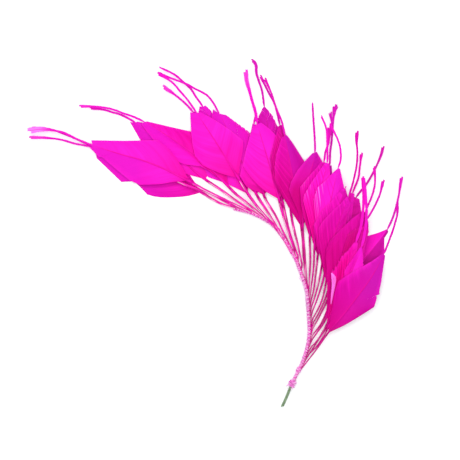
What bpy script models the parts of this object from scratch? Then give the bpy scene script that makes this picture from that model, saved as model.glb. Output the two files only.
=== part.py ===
"""A dyed goose feather spray, bound along a curved florist wire, lying flat.

Twenty nine goose feathers are trimmed to arrowheads, each with a bare stem and a small tuft beyond
its vane. Their quills fan out from a wire and are bound on with thread, knotted near the bare end.
The plan of each feather is read by eye from the photograph, taken from straight above, and its
height comes from laying the feathers down one after another, each on those below it.
Metres, +Z up. X is the photograph's right and Y its up.
"""

from dataclasses import dataclass, field
import math

import bmesh
import bpy
import numpy as np

COLLECTION = "goose_feather_spray"

# Driving dimensions
SPRAY_WIDTH = 0.302
QUILL_RADIUS = 0.00075
QUILL_ROOT_RADIUS = 0.0005
RACHIS_TIP_RADIUS = 0.00035
STEM_RADIUS = 0.00035
VANE_THICKNESS = 0.0005
VANE_HALF_WIDTH = 0.017
VANE_CORNER_AT = 0.43
SHOULDER_HALF_WIDTH = 0.0017
TUFT_THICKNESS = 0.0006
STEM_STEP = 0.0007
QUILL_STEP = 0.001
WIRE_RADIUS = 0.001
BINDING_RADIUS = 0.0017
BINDING_END_RADIUS = 0.0014
KNOT_RADIUS = 0.0035
GAP = 0.0003

# The bulge of a hidden vane edge before its corner, as shares of the way there and of its width
HIDDEN_BULGE_AT = 0.45
HIDDEN_BULGE = 0.6

# A tuft's three sections, as shares of its length and of its widest half width
TUFT_AT = np.array([0.35, 0.75, 1.0])
TUFT_WIDTHS = np.array([0.8, 1.0, 0.55])

# How the feathers lie: the gap between layers, slopes as rise over run, and how each one settles
LAYER_GAP = 0.0003
STEM_LIFT = 0.05
STEEPEST = 0.3
SINKING_TURNS = 60
CLEARING_TURNS = 30
SINK = 0.0002
STIFFNESS = 0.5
FLATTENING = 0.97

# The photograph's columns and rows that bound the spray
PHOTO_LEFT = 27
PHOTO_RIGHT = 404
PHOTO_TOP = 58
PHOTO_BOTTOM = 408
PHOTO_STEP = SPRAY_WIDTH / (PHOTO_RIGHT - PHOTO_LEFT)
PHOTO_CENTRE = ((PHOTO_LEFT + PHOTO_RIGHT) / 2, (PHOTO_TOP + PHOTO_BOTTOM) / 2)

# Mesh fineness
RING_SIDES = 8
POINTS_PER_SPAN = 12
QUILL_SECTIONS = 3
VANE_SECTIONS = 8
STEM_SECTIONS = 4
CELL = 0.0005
SAMPLE = 0.00035

BRIGHT = "dye_bright_pink"
DEEP = "dye_deep_pink"
PURPLE = "dye_purple_pink"
DYES = {
    BRIGHT: (1.0, 0.02, 0.62, 1.0),
    DEEP: (0.78, 0.0, 0.38, 1.0),
    PURPLE: (0.6, 0.01, 0.42, 1.0),
}
THREAD_COLOUR = (0.87, 0.3, 0.66, 1.0)
WIRE_COLOUR = (0.28, 0.42, 0.27, 1.0)


@dataclass
class Feather:
    """One feather's plan, in photograph pixels. Left and right are as seen from root to tip."""

    root: tuple
    quill: list
    base: tuple
    rachis: list
    tip: tuple
    wisp: list
    left: list = field(default_factory=list)
    right: list = field(default_factory=list)
    hidden_width: float = VANE_HALF_WIDTH
    tuft_length: float = 0.009
    tuft_half_width: float = 0.0013
    dye: str = BRIGHT


FEATHERS = {
    1: Feather(
        root=(248, 211), quill=[(228, 201), (205, 190)], base=(189, 181),
        rachis=[(175, 174), (160, 167), (140, 159.5), (120, 154)], tip=(92, 145),
        left=[(175, 181.5), (160, 184), (139, 185), (133, 181), (121, 175), (99, 155), (90, 148)],
        right=[(183, 169), (178, 161), (172, 153), (165, 146), (157, 140), (125, 140.5), (91, 140)],
        wisp=[(77, 139), (63.6, 132.5), (54, 130.5), (43, 129), (27, 131)],
        tuft_length=0.019, tuft_half_width=0.0027),
    2: Feather(
        root=(237, 208), quill=[(220, 199), (205, 191.5), (189, 186)], base=(173, 179),
        rachis=[(150, 168), (120, 156)], tip=(93, 147),
        left=[(158, 181), (134, 181), (120, 182), (99, 160), (91, 149.5)],
        wisp=[(75, 143.5), (60.5, 139.5), (43, 137.5), (28.5, 137.5)],
        tuft_length=0.018, tuft_half_width=0.0014, dye=DEEP),
    3: Feather(
        root=(230, 206.5), quill=[(222, 204), (212, 199)], base=(201, 192),
        rachis=[(175, 180), (150, 169), (125, 158)], tip=(100, 149),
        left=[(190, 195.5), (177, 197), (157, 197), (147, 194.5), (138, 185), (104, 156)],
        wisp=[(82, 141.5), (72, 137), (62, 133), (50, 129), (31, 127.5)],
        tuft_length=0.015, tuft_half_width=0.0012, dye=DEEP),
    4: Feather(
        root=(264, 218), quill=[(258, 212), (246, 202), (236, 194)], base=(228, 186),
        rachis=[(212, 170), (195, 155.5), (170, 137.5)], tip=(144, 121.5),
        left=[(216, 176), (203, 167), (195, 165.5), (183, 164), (178, 161.5), (168, 159), (141, 124)],
        right=[(226, 172), (215, 152), (200, 134), (190, 131), (170, 126.5), (147, 121)],
        wisp=[(131, 115.6), (123, 113), (112, 109), (97, 106.5), (78.5, 106)],
        tuft_length=0.01, tuft_half_width=0.0015),
    5: Feather(
        root=(256, 213.5), quill=[(237, 201), (220, 189)], base=(205, 179),
        rachis=[(185, 163), (165, 147), (150, 134)], tip=(135.5, 122.5),
        left=[(190, 175), (172, 170), (155, 162), (139, 138), (129.5, 121.5)],
        right=[(208.5, 174), (207, 164), (202, 152), (190, 138), (160, 126), (136.5, 121)],
        wisp=[(119.5, 114), (112, 112), (104, 109.5), (89, 107.6)], dye=DEEP),
    6: Feather(
        root=(276, 228), quill=[(258, 207), (247, 192)], base=(238, 177.5),
        rachis=[(224, 155), (210, 133)], tip=(196.5, 112.5),
        left=[(226, 175), (215, 171), (203, 165), (195, 156), (192.5, 145), (191, 131), (190, 112)],
        right=[(240, 165), (243, 148), (243, 140.5), (230, 130), (215, 120), (201, 112)],
        wisp=[(187, 99), (180, 91), (173, 83), (166, 78), (157, 73)],
        tuft_half_width=0.0015),
    7: Feather(
        root=(272, 224), quill=[(256, 205)], base=(248, 194),
        rachis=[(222, 155)], tip=(193, 112),
        left=[(236, 188), (225, 183), (208, 177), (203, 165), (191, 114)],
        wisp=[(185, 103), (175.5, 95), (162, 85.5)],
        tuft_length=0.011, tuft_half_width=0.002, dye=DEEP),
    8: Feather(
        root=(268, 220), quill=[(255, 203)], base=(243, 186),
        rachis=[(225, 147)], tip=(203, 106.5), hidden_width=0.012,
        left=[(232, 176), (215, 157), (203, 140), (197, 122), (199.3, 105.8)],
        right=[(246, 170), (238, 150), (215, 119), (211, 110), (205, 104.5)],
        wisp=[(196, 96.6), (190.7, 88.6), (183.6, 82), (174.6, 74.3), (158.6, 66.5)],
        tuft_length=0.004, tuft_half_width=0.0006, dye=DEEP),
    9: Feather(
        root=(285, 240), quill=[(266, 209)], base=(257, 195),
        rachis=[(238, 154)], tip=(219, 113), hidden_width=0.014,
        left=[(247, 186), (236, 174), (222, 160), (212, 142), (210, 125), (213, 109)],
        right=[(261, 180), (258, 155), (251, 133), (232, 119), (226, 114.5)],
        wisp=[(208, 96), (194, 88), (187, 84), (175, 79.6), (157, 72.5)], dye=DEEP),
    10: Feather(
        root=(294, 249), quill=[(290, 236), (284, 218)], base=(279, 199),
        rachis=[(275, 185), (267, 157), (262, 140)], tip=(257.5, 124),
        left=[(268, 193), (258, 185), (250, 176), (243, 166), (246, 150), (248, 143), (253, 126)],
        right=[(284, 190), (288, 165), (283, 143), (276, 135), (270, 129), (261, 122)],
        wisp=[(255.5, 112), (252, 100), (249, 89), (247, 82), (245.5, 69)],
        tuft_length=0.02, tuft_half_width=0.0021),
    11: Feather(
        root=(288, 243), quill=[(276, 216)], base=(264, 195),
        rachis=[(262, 170), (258, 147)], tip=(254, 124),
        left=[(256, 191), (247, 187), (240, 176), (243, 160), (248, 143), (251, 131), (252.5, 123)],
        wisp=[(256, 114), (253.5, 104)], tuft_length=0.004, tuft_half_width=0.0006, dye=DEEP),
    12: Feather(
        root=(298, 256), quill=[(290, 233)], base=(283, 203),
        rachis=[(276, 170), (271, 145)], tip=(264.5, 106.5), hidden_width=0.014,
        left=[(262, 180), (253, 150), (254, 134), (258, 117.5), (263, 107)],
        right=[(288, 180), (284, 150), (278, 126), (272, 114), (266, 107)],
        wisp=[(262, 90), (259, 81), (256.6, 73), (255.7, 63.4), (250.8, 58.5)],
        tuft_length=0.008, dye=PURPLE),
    13: Feather(
        root=(302, 265), quill=[(298, 245), (293, 224)], base=(291, 211),
        rachis=[(288, 180), (285, 155)], tip=(280, 125), hidden_width=0.012,
        left=[(284, 199), (276, 187), (273, 178), (271, 163), (270, 158), (274, 142), (278.5, 126)],
        wisp=[(276.3, 109), (273.6, 101), (269, 93), (264.6, 84), (260, 74.6)],
        dye=PURPLE),
    14: Feather(
        root=(306, 280), quill=[(304, 262), (303, 240)], base=(301.5, 227),
        rachis=[(296, 195), (292, 173), (287, 147)], tip=(285, 136),
        left=[(292, 212), (283, 197), (275, 180), (274.5, 168), (276, 155), (282, 137)],
        right=[(306, 210), (308, 185), (305, 162), (300, 154), (293, 143), (287, 135)],
        wisp=[(281.6, 121), (278, 112.5), (274.5, 103.6), (271.8, 94.6), (264.6, 77.7)]),
    15: Feather(
        root=(307, 287.5), quill=[(305, 255)], base=(303, 226),
        rachis=[(305, 200), (309, 178)], tip=(315, 152.5), hidden_width=0.014,
        left=[(297, 209), (292, 198), (289, 190), (291, 182), (297, 171), (304, 162), (312.5, 153)],
        right=[(310, 212), (318, 192), (324, 172), (322.5, 161), (317, 151.5)],
        wisp=[(314.6, 135), (313.4, 117), (312.5, 102)],
        tuft_length=0.006, tuft_half_width=0.0008),
    16: Feather(
        root=(308.5, 293), quill=[(310.5, 262)], base=(310, 238),
        rachis=[(311, 212), (316, 188)], tip=(324, 162), hidden_width=0.014,
        left=[(306, 226), (301.5, 207), (300.5, 196), (300, 187), (309, 176), (316, 168.5), (321, 162)],
        wisp=[(325.7, 151), (328.4, 144), (329.3, 133), (329.6, 125)],
        tuft_length=0.012, tuft_half_width=0.002),
    17: Feather(
        root=(309.5, 299), quill=[(313.5, 270)], base=(314.5, 250),
        rachis=[(315, 222), (319, 195)], tip=(327, 163), hidden_width=0.014,
        left=[(312, 236), (308, 219), (305, 208), (303, 200), (304, 195), (311, 183), (325, 163)],
        wisp=[(327.3, 152.5), (327, 140), (326.2, 129), (320.8, 115.4)],
        tuft_length=0.006, tuft_half_width=0.001),
    18: Feather(
        root=(309.5, 305), quill=[(313.5, 292), (316.5, 270)], base=(318, 256),
        rachis=[(321, 228), (325, 196)], tip=(330, 165), hidden_width=0.011,
        wisp=[(330.6, 151), (332, 140), (333, 126), (333.8, 117), (335.5, 103.4)],
        tuft_length=0.01, tuft_half_width=0.0022, dye=PURPLE),
    19: Feather(
        root=(309.5, 311.5), quill=[(315, 297)], base=(322, 266),
        rachis=[(324, 235), (330, 203)], tip=(338, 168),
        left=[(319, 250), (316, 225), (313.5, 199), (317, 188), (326, 180), (334, 171.5)],
        right=[(338, 245), (347, 207), (344, 187), (342, 178), (340, 169)],
        wisp=[(340.4, 160), (340.4, 152), (338.7, 143), (329.3, 123)],
        tuft_length=0.005, tuft_half_width=0.0008),
    20: Feather(
        root=(309.5, 318), quill=[(318, 297)], base=(324, 277),
        rachis=[(327, 250), (335, 218)], tip=(345, 188),
        left=[(322, 262), (318, 250), (315, 235), (313.5, 225), (321, 212), (336, 196), (342, 189)],
        right=[(342, 250), (349, 222), (347.5, 196)],
        wisp=[(346, 185.5), (346.5, 182)], tuft_length=0.001, tuft_half_width=0.0005),
    21: Feather(
        root=(309.5, 324.5), quill=[(321, 303)], base=(326, 283),
        rachis=[(329, 255), (337, 226)], tip=(348, 197),
        left=[(321, 252), (319, 240), (318.5, 228), (322, 222), (332, 211), (341, 203), (346, 197)],
        right=[(336, 262), (344, 236), (347, 215), (350, 203)],
        wisp=[(351.6, 186), (356, 166), (356.8, 152), (356, 142), (356.5, 130.6)],
        tuft_length=0.012, tuft_half_width=0.0017),
    22: Feather(
        root=(309.5, 329.5), quill=[(321, 309)], base=(329, 288),
        rachis=[(335, 255), (344, 225)], tip=(353, 193), hidden_width=0.009,
        wisp=[(358.8, 177.5), (360, 168), (361.9, 152)],
        tuft_length=0.006, tuft_half_width=0.0016, dye=DEEP),
    23: Feather(
        root=(309.5, 334.5), quill=[(322, 312)], base=(331, 291),
        rachis=[(338, 258), (347, 228)], tip=(356.5, 197.5), hidden_width=0.009,
        right=[(352, 262), (360, 232), (362, 212), (360, 199)],
        wisp=[(366.8, 184), (374.8, 170), (381, 156), (383.8, 145.4)],
        tuft_length=0.012, tuft_half_width=0.0014, dye=PURPLE),
    24: Feather(
        root=(308.5, 340), quill=[(320, 326)], base=(327, 312),
        rachis=[(338, 280), (352, 247)], tip=(365, 212), hidden_width=0.009,
        left=[(327, 275), (326, 250), (330, 240), (338, 232), (352, 218.5), (362, 211.5)],
        wisp=[(371.3, 197), (373.9, 188), (374.8, 179), (373.5, 166)], dye=DEEP),
    25: Feather(
        root=(307.5, 346), quill=[(317, 333)], base=(325, 321),
        rachis=[(340, 285), (354, 252)], tip=(367, 219),
        left=[(328, 300), (336, 272), (345, 243), (347.5, 234), (355, 229), (362, 226)],
        right=[(352, 292), (362, 262), (366, 240), (368.5, 232), (368, 222)],
        wisp=[(371, 212), (375.7, 203), (379.3, 194.5), (382.9, 179.3)],
        tuft_half_width=0.0016, dye=PURPLE),
    26: Feather(
        root=(306, 352.5), quill=[(318, 340)], base=(326.5, 327),
        rachis=[(336, 300), (346, 270)], tip=(355.5, 242), hidden_width=0.011,
        left=[(329, 305), (332, 290), (331.5, 272), (337, 265), (341, 257), (348, 250), (354, 242)],
        wisp=[(360, 228), (362, 215), (363, 197), (361.9, 176)],
        tuft_length=0.034, tuft_half_width=0.0014),
    27: Feather(
        root=(304.5, 358.5), quill=[(318, 345)], base=(327.5, 329),
        rachis=[(340, 300), (351, 272)], tip=(361, 247),
        left=[(332, 318), (340, 300), (344, 280), (344, 271), (347, 266), (353, 257), (359, 248)],
        right=[(348, 310), (360, 285), (363, 265), (362, 249)],
        wisp=[(365, 228), (366, 215), (365, 197), (363, 178)],
        tuft_length=0.036, tuft_half_width=0.0013),
    28: Feather(
        root=(303, 363.5), quill=[(318, 341)], base=(331, 317),
        rachis=[(346, 288), (363, 262), (375, 247)], tip=(388, 229),
        left=[(333, 300), (345, 268), (357, 240), (366, 236.5), (378, 233), (386.5, 229.5)],
        right=[(345, 312), (368, 290), (383, 262), (385, 250), (385, 238), (389, 232)],
        wisp=[(394.5, 214), (398.5, 199), (402.7, 176)],
        tuft_length=0.012, tuft_half_width=0.0015, dye=PURPLE),
    29: Feather(
        root=(301.5, 369), quill=[(316, 350)], base=(328, 333),
        rachis=[(345, 312), (358, 295), (371, 277)], tip=(383.5, 254),
        left=[(330, 320), (332, 308), (335, 290), (338, 281), (350, 273), (372, 261), (381, 254.5)],
        right=[(345, 325), (360, 316), (374, 307), (377.5, 297), (381, 283), (385, 256)],
        wisp=[(389, 240), (392.7, 230), (395, 222), (397, 214), (396.5, 202)],
        tuft_half_width=0.0015),
}

# The order in which the feathers are laid down, the lowest first
LAYERS = [3, 2, 5, 8, 7, 4, 1, 9, 6, 12, 11, 10, 28, 23, 22, 18, 13, 14, 15, 16, 17, 19,
          20, 21, 24, 25, 26, 27, 29]

# The wire's route in photograph pixels with the height of its centre, from the bare cut end
WIRE_ROUTE = [
    (282, 408, 0.0012), (286.5, 398, 0.0019), (291.3, 386, 0.0033), (297, 374, 0.0032),
    (302, 364, 0.003), (305.2, 355, 0.003), (308, 345, 0.003), (309.5, 332, 0.003),
    (309, 318, 0.003), (308, 303, 0.003), (307, 292, 0.003), (305, 284, 0.003),
    (301, 273, 0.003), (297, 262, 0.003), (291, 250, 0.003), (284, 238, 0.003),
    (277, 229, 0.003), (268, 221.5, 0.003), (258, 216, 0.0029), (248, 212, 0.0027),
    (240, 210, 0.0025), (233, 208.5, 0.0024),
]
KNOT_CENTRE = (291.5, 383.5)
KNOT_LENGTH = 0.0075
LUMP_CENTRE = (298.5, 370)
LUMP_LENGTH = 0.004
LUMP_RADIUS = 0.0023
WIRE_CUT_SLANT = 0.9


def clear_scene():
    for thing in list(bpy.data.objects):
        bpy.data.objects.remove(thing)


def place(pixel):
    """The plan position in metres of a photograph pixel."""
    x = (pixel[0] - PHOTO_CENTRE[0]) * PHOTO_STEP
    y = (PHOTO_CENTRE[1] - pixel[1]) * PHOTO_STEP
    return np.array([x, y])


def material(name, colour, roughness):
    made = bpy.data.materials.new(name)
    made.use_nodes = True
    shader = made.node_tree.nodes["Principled BSDF"]
    shader.inputs["Base Color"].default_value = colour
    shader.inputs["Roughness"].default_value = roughness
    shader.inputs["Metallic"].default_value = 0.0
    made.diffuse_color = colour
    return made


def smooth_curve(points):
    """Points along a smooth curve through the given points, and the index of each given point."""
    points = np.array(points, dtype=float)
    padded = np.vstack([2 * points[0] - points[1], points, 2 * points[-1] - points[-2]])
    steps = np.sqrt(np.linalg.norm(np.diff(padded, axis=0), axis=1))
    knots = np.concatenate([[0.0], np.cumsum(steps)])
    out = []
    for i in range(1, len(points)):
        a, b, c, d = padded[i - 1:i + 3]
        ta, tb, tc, td = knots[i - 1:i + 3]
        for t in np.linspace(tb, tc, POINTS_PER_SPAN, endpoint=False):
            ab = a * (tb - t) / (tb - ta) + b * (t - ta) / (tb - ta)
            bc = b * (tc - t) / (tc - tb) + c * (t - tb) / (tc - tb)
            cd = c * (td - t) / (td - tc) + d * (t - tc) / (td - tc)
            abc = ab * (tc - t) / (tc - ta) + bc * (t - ta) / (tc - ta)
            bcd = bc * (td - t) / (td - tb) + cd * (t - tb) / (td - tb)
            out.append(abc * (tc - t) / (tc - tb) + bcd * (t - tb) / (tc - tb))
    out.append(points[-1])
    return np.array(out), [i * POINTS_PER_SPAN for i in range(len(points))]


def lengths_along(curve):
    return np.concatenate([[0.0], np.cumsum(np.linalg.norm(np.diff(curve, axis=0), axis=1))])


def at_length(curve, lengths, s):
    """The points of a curve at the lengths s."""
    return np.stack([np.interp(s, lengths, curve[:, k]) for k in range(curve.shape[1])], axis=-1)


def skin(name, rings, coating, loop=False):
    """A closed mesh over rings of points. With loop the last ring joins the first, as in a pipe."""
    shape = bmesh.new()
    made = [[shape.verts.new(p) for p in ring] for ring in rings]
    pairs = list(zip(made, made[1:]))
    if loop:
        pairs.append((made[-1], made[0]))
    for one, two in pairs:
        for k in range(len(one)):
            n = (k + 1) % len(one)
            shape.faces.new((one[k], one[n], two[n], two[k]))
    if not loop:
        shape.faces.new(made[0])
        shape.faces.new(made[-1])
    bmesh.ops.triangulate(shape, faces=shape.faces[:])
    bmesh.ops.recalc_face_normals(shape, faces=shape.faces[:])
    mesh = bpy.data.meshes.new(name)
    shape.to_mesh(mesh)
    shape.free()
    mesh.materials.append(coating)
    mesh.shade_smooth()
    mesh.set_sharp_from_angle(angle=math.radians(40))
    thing = bpy.data.objects.new(name, mesh)
    bpy.data.collections[COLLECTION].objects.link(thing)
    return thing


class Ground:
    """The top of everything laid down so far, as heights on a grid, with the bare table at zero."""

    def __init__(self):
        self.low = place((PHOTO_LEFT, PHOTO_BOTTOM)) - 0.01
        high = place((PHOTO_RIGHT, PHOTO_TOP)) + 0.01
        across, up = np.ceil((high - self.low) / CELL).astype(int)
        self.top = np.full((up, across), -LAYER_GAP)

    def cells(self, xy):
        index = np.floor((xy - self.low) / CELL).astype(int)
        return index[..., 1], index[..., 0]

    def height(self, xy):
        """The highest top in the cell of each point and the eight cells around it."""
        rows, columns = self.cells(xy)
        around = [self.top[rows + i, columns + j] for i in (-1, 0, 1) for j in (-1, 0, 1)]
        return np.max(around, axis=0)

    def cover(self, xy, z):
        rows, columns = self.cells(xy)
        np.maximum.at(self.top, (rows, columns), z)


class Plan:
    """The sections across one feather: places, directions, half widths and the rachis's radius."""

    def __init__(self, feather, spine):
        points = [feather.root, *feather.quill, feather.base, *feather.rachis, feather.tip, *feather.wisp]
        self.curve, index = smooth_curve([place(p) for p in points])
        self.lengths = lengths_along(self.curve)
        self.base_index = index[len(feather.quill) + 1]
        self.tip_index = index[len(feather.quill) + len(feather.rachis) + 2]
        self.base = self.lengths[self.base_index]
        self.tip = self.lengths[self.tip_index]
        self.end = self.lengths[-1]
        self.start = self.start_beside(spine)
        outlines = {-1: feather.left, 1: feather.right}
        hidden = feather.hidden_width
        sides = {side: self.outline_widths(outline, hidden) for side, outline in outlines.items()}
        self.s = self.stations(feather, sides)
        self.middle = at_length(self.curve, self.lengths, self.s)
        self.in_vane = (self.s >= self.base) & (self.s <= self.tip)
        self.last = int(np.nonzero(self.in_vane)[0][-1])
        self.radius = np.interp(
            self.s, [self.start, self.base, self.tip, self.end],
            [QUILL_ROOT_RADIUS, QUILL_RADIUS, RACHIS_TIP_RADIUS, STEM_RADIUS])
        across = self.directions_across()
        self.half = {}
        self.edge = {}
        for side, outline in outlines.items():
            self.half[side] = self.half_widths(feather, sides[side])
            self.edge[side] = self.middle + side * self.half[side][:, None] * across
            if outline:
                self.edge[side][self.last] = place(outline[-1])
                self.half[side][self.last] = np.linalg.norm(place(outline[-1]) - self.middle[self.last])

    def start_beside(self, spine):
        """Where the quill comes clear of the binding, measured along the feather."""
        clear = BINDING_RADIUS + GAP + QUILL_ROOT_RADIUS
        apart = np.linalg.norm(self.curve[:, None, :] - spine[None, :, :2], axis=2).min(axis=1)
        inside = np.nonzero(apart < clear)[0]
        return self.lengths[inside[-1] + 1] if len(inside) else 0.0

    def outline_widths(self, outline, hidden_width):
        """Lengths along the feather and half widths there of one edge of the vane, from base to tip."""
        if not outline:
            corner = self.base + VANE_CORNER_AT * (self.tip - self.base)
            before = self.base + HIDDEN_BULGE_AT * (corner - self.base)
            return ([self.base, before, corner, self.tip],
                    [QUILL_RADIUS, HIDDEN_BULGE * hidden_width, hidden_width, SHOULDER_HALF_WIDTH])
        lengths, widths = [self.base], [QUILL_RADIUS]
        for point in outline:
            apart = np.linalg.norm(self.curve[:self.tip_index + 1] - place(point), axis=1)
            nearest = apart.argmin()
            if self.lengths[nearest] > lengths[-1]:
                lengths.append(self.lengths[nearest])
                widths.append(apart[nearest])
        return lengths, widths

    def stations(self, feather, sides):
        """Lengths along the feather of its sections, with one at each corner of the vane."""
        quill = np.linspace(self.start, self.base - QUILL_STEP, QUILL_SECTIONS)
        vane = np.linspace(self.base, self.tip, VANE_SECTIONS)
        for lengths, widths in sides.values():
            corner = lengths[int(np.argmax(widths))]
            vane[1 + int(np.abs(vane[1:-1] - corner).argmin())] = corner
        tuft = max(self.end - feather.tuft_length, self.tip + 2 * STEM_STEP)
        stem = np.linspace(self.tip + STEM_STEP, tuft, STEM_SECTIONS)
        return np.concatenate([quill, np.sort(vane), stem, tuft + (self.end - tuft) * TUFT_AT])

    def directions_across(self):
        before = at_length(self.curve, self.lengths, self.s - CELL)
        after = at_length(self.curve, self.lengths, self.s + CELL)
        ahead = (after - before) / np.linalg.norm(after - before, axis=1)[:, None]
        return np.stack([ahead[:, 1], -ahead[:, 0]], axis=1)

    def half_widths(self, feather, widths_along):
        vane = np.maximum(np.interp(self.s, *widths_along), self.radius)
        half = np.where(self.in_vane, vane, self.radius)
        half[-len(TUFT_WIDTHS):] = TUFT_WIDTHS * feather.tuft_half_width
        return half

    def patch(self, i, side):
        """Fine sample points on one half of the feather between sections i and i + 1.

        With them go their shares of the way along to section i + 1 and of the way out to the edge.
        """
        along = np.linspace(0, 1, 2 + int((self.s[i + 1] - self.s[i]) / SAMPLE))[:, None]
        out = np.linspace(0, 1, 3 + int(self.half[side][i:i + 2].max() / SAMPLE))[None, :]
        middle = self.middle[i] * (1 - along) + self.middle[i + 1] * along
        edge = self.edge[side][i] * (1 - along) + self.edge[side][i + 1] * along
        xy = middle[:, None, :] * (1 - out[..., None]) + edge[:, None, :] * out[..., None]
        return xy, np.broadcast_to(along, xy.shape[:2]), np.broadcast_to(out, xy.shape[:2])


class Lie:
    """How one feather lies: the height of its underside's middle and the rise of each edge over it."""

    def __init__(self, plan, ground):
        self.plan = plan
        self.middle = np.zeros(len(plan.s))
        self.rise = {side: np.zeros(len(plan.s)) for side in (-1, 1)}
        self.patches = []
        for i in range(len(plan.s) - 1):
            for side in (-1, 1):
                xy, along, out = plan.patch(i, side)
                self.patches.append((i, side, along, out, ground.height(xy) + LAYER_GAP))

    def under(self, i, side, along, out):
        """The underside's height at shares along and out of a patch."""
        start, end = self.middle[i:i + 2, None, None] + self.rise[side][i:i + 2, None, None] * out
        return start * (1 - along) + end * along

    def push_up(self, last):
        """Lifts the sections up to last where the underside is lower than what it lies on."""
        for i, side, along, out, need in self.patches:
            if i >= last:
                continue
            short = need - self.under(i, side, along, out)
            worst = np.unravel_index(int(short.argmax()), short.shape)
            if short[worst] <= 0:
                continue
            u, f = along[worst], out[worst]
            bends = self.plan.in_vane[i] and self.plan.in_vane[i + 1]
            shares = np.array([1 - u, u, (1 - u) * f * bends, u * f * bends])
            shares *= short[worst] / (shares @ shares)
            self.middle[i:i + 2] += shares[:2]
            self.rise[side][i:i + 2] += shares[2:]

    def sink_and_stiffen(self):
        """Lowers the feather a little, then straightens its length and levels its halves a little."""
        last, s = self.plan.last, self.plan.s
        self.middle -= SINK
        share = (s[1:-1] - s[:-2]) / (s[2:] - s[:-2])
        bridge = self.middle[:-2] * (1 - share) + self.middle[2:] * share
        self.middle[1:last] += STIFFNESS * (bridge - self.middle[1:-1])[:last - 1]
        slope = (self.middle[last - 1] - self.middle[last - 3]) / (s[last - 1] - s[last - 3])
        straight_on = self.middle[last - 1] + slope * (s[last] - s[last - 1])
        self.middle[last] += STIFFNESS * (straight_on - self.middle[last])
        for side in (-1, 1):
            rise = FLATTENING * self.rise[side] - SINK * self.plan.in_vane
            rise[1:-1] = (rise[:-2] + 2 * rise[1:-1] + rise[2:]) / 4
            steepest = STEEPEST * self.plan.half[side]
            self.rise[side] = np.clip(rise, -steepest, steepest) * self.plan.in_vane

    def settle(self, root_height):
        """Lets quill and vane sink onto what is below, with the root held at the wire."""
        for turn in range(SINKING_TURNS + CLEARING_TURNS):
            if turn < SINKING_TURNS:
                self.sink_and_stiffen()
            self.middle[0] = max(self.middle[0], root_height)
            self.push_up(self.plan.last)

    def raise_stem(self):
        """Lets the bare stem run straight on beyond the vane, a little upward, over what is below."""
        last = self.plan.last
        self.middle[last:] = self.middle[last] + STEM_LIFT * (self.plan.s[last:] - self.plan.s[last])
        for _ in range(CLEARING_TURNS):
            self.push_up(len(self.plan.s))

    def cover(self, ground):
        """Adds the feather's top to the ground."""
        plan = self.plan
        for i, side, along, out, _ in self.patches:
            xy = plan.patch(i, side)[0]
            ridge = 2 * max(plan.radius[i], plan.radius[i + 1])
            thick = np.full(out.shape, ridge)
            if plan.in_vane[i] and plan.in_vane[i + 1]:
                half = plan.half[side][i] * (1 - along) + plan.half[side][i + 1] * along
                thick[out * half > 0.55 * ridge + CELL] = VANE_THICKNESS
            ground.cover(xy, self.under(i, side, along, out) + thick)


def ring(plan, lie, i):
    """The eight points round one section, with the rachis as a ridge on top of the vane."""
    left, right, r = plan.half[-1][i], plan.half[1][i], plan.radius[i]
    if plan.in_vane[i]:
        edge = VANE_THICKNESS
        outline = [(-left, edge), (-1.1 * r, edge), (0, 2 * r), (1.1 * r, edge), (right, edge),
                   (right, 0), (0, 0), (-left, 0)]
    else:
        thick = 2 * r if i < len(plan.s) - len(TUFT_WIDTHS) else TUFT_THICKNESS
        outline = [(-left, 0.45 * thick), (-0.75 * left, 0.85 * thick), (0, thick),
                   (0.75 * right, 0.85 * thick), (right, 0.45 * thick),
                   (0.55 * right, 0.05 * thick), (0, 0), (-0.55 * left, 0.05 * thick)]
    points = []
    for across, up in outline:
        side = 1 if across > 0 else -1
        out = abs(across) / plan.half[side][i]
        x, y = plan.middle[i] * (1 - out) + plan.edge[side][i] * out
        points.append((x, y, lie.middle[i] + lie.rise[side][i] * out + up))
    return points


def wire_centreline():
    """The wire's centre as a smooth curve of points in metres, and the length along it."""
    points = [(*place(p[:2]), p[2]) for p in WIRE_ROUTE]
    curve, _ = smooth_curve(points)
    return curve, lengths_along(curve)


def nearest_length(curve, lengths, pixel):
    return lengths[np.linalg.norm(curve[:, :2] - place(pixel), axis=1).argmin()]


def tube_rings(curve, lengths, stations, radii):
    """Rings of points round a curve, upright across its plan direction."""
    rings = []
    for s, radius in zip(stations, radii):
        centre = at_length(curve, lengths, s)
        ahead = at_length(curve, lengths, s + CELL) - at_length(curve, lengths, s - CELL)
        ahead /= np.linalg.norm(ahead)
        side = np.cross(ahead, (0, 0, 1))
        side /= np.linalg.norm(side)
        up = np.cross(side, ahead)
        angles = 2 * math.pi * (np.arange(RING_SIDES) + 0.5) / RING_SIDES
        rings.append([tuple(centre + radius * (math.cos(a) * side + math.sin(a) * up)) for a in angles])
    return rings


def binding_radius(s, start, end, knot, lump):
    """The bound bundle's radius at length s: a knot, a small lump beyond it, then a slow taper."""
    radius = np.interp(s, [start, end], [BINDING_RADIUS, BINDING_END_RADIUS])
    for centre, length, height in ((knot, KNOT_LENGTH, KNOT_RADIUS), (lump, LUMP_LENGTH, LUMP_RADIUS)):
        off = abs(s - centre) / (length / 2)
        if off < 1:
            radius += (height - radius) * math.sqrt(1 - off ** 2)
    return radius


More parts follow.
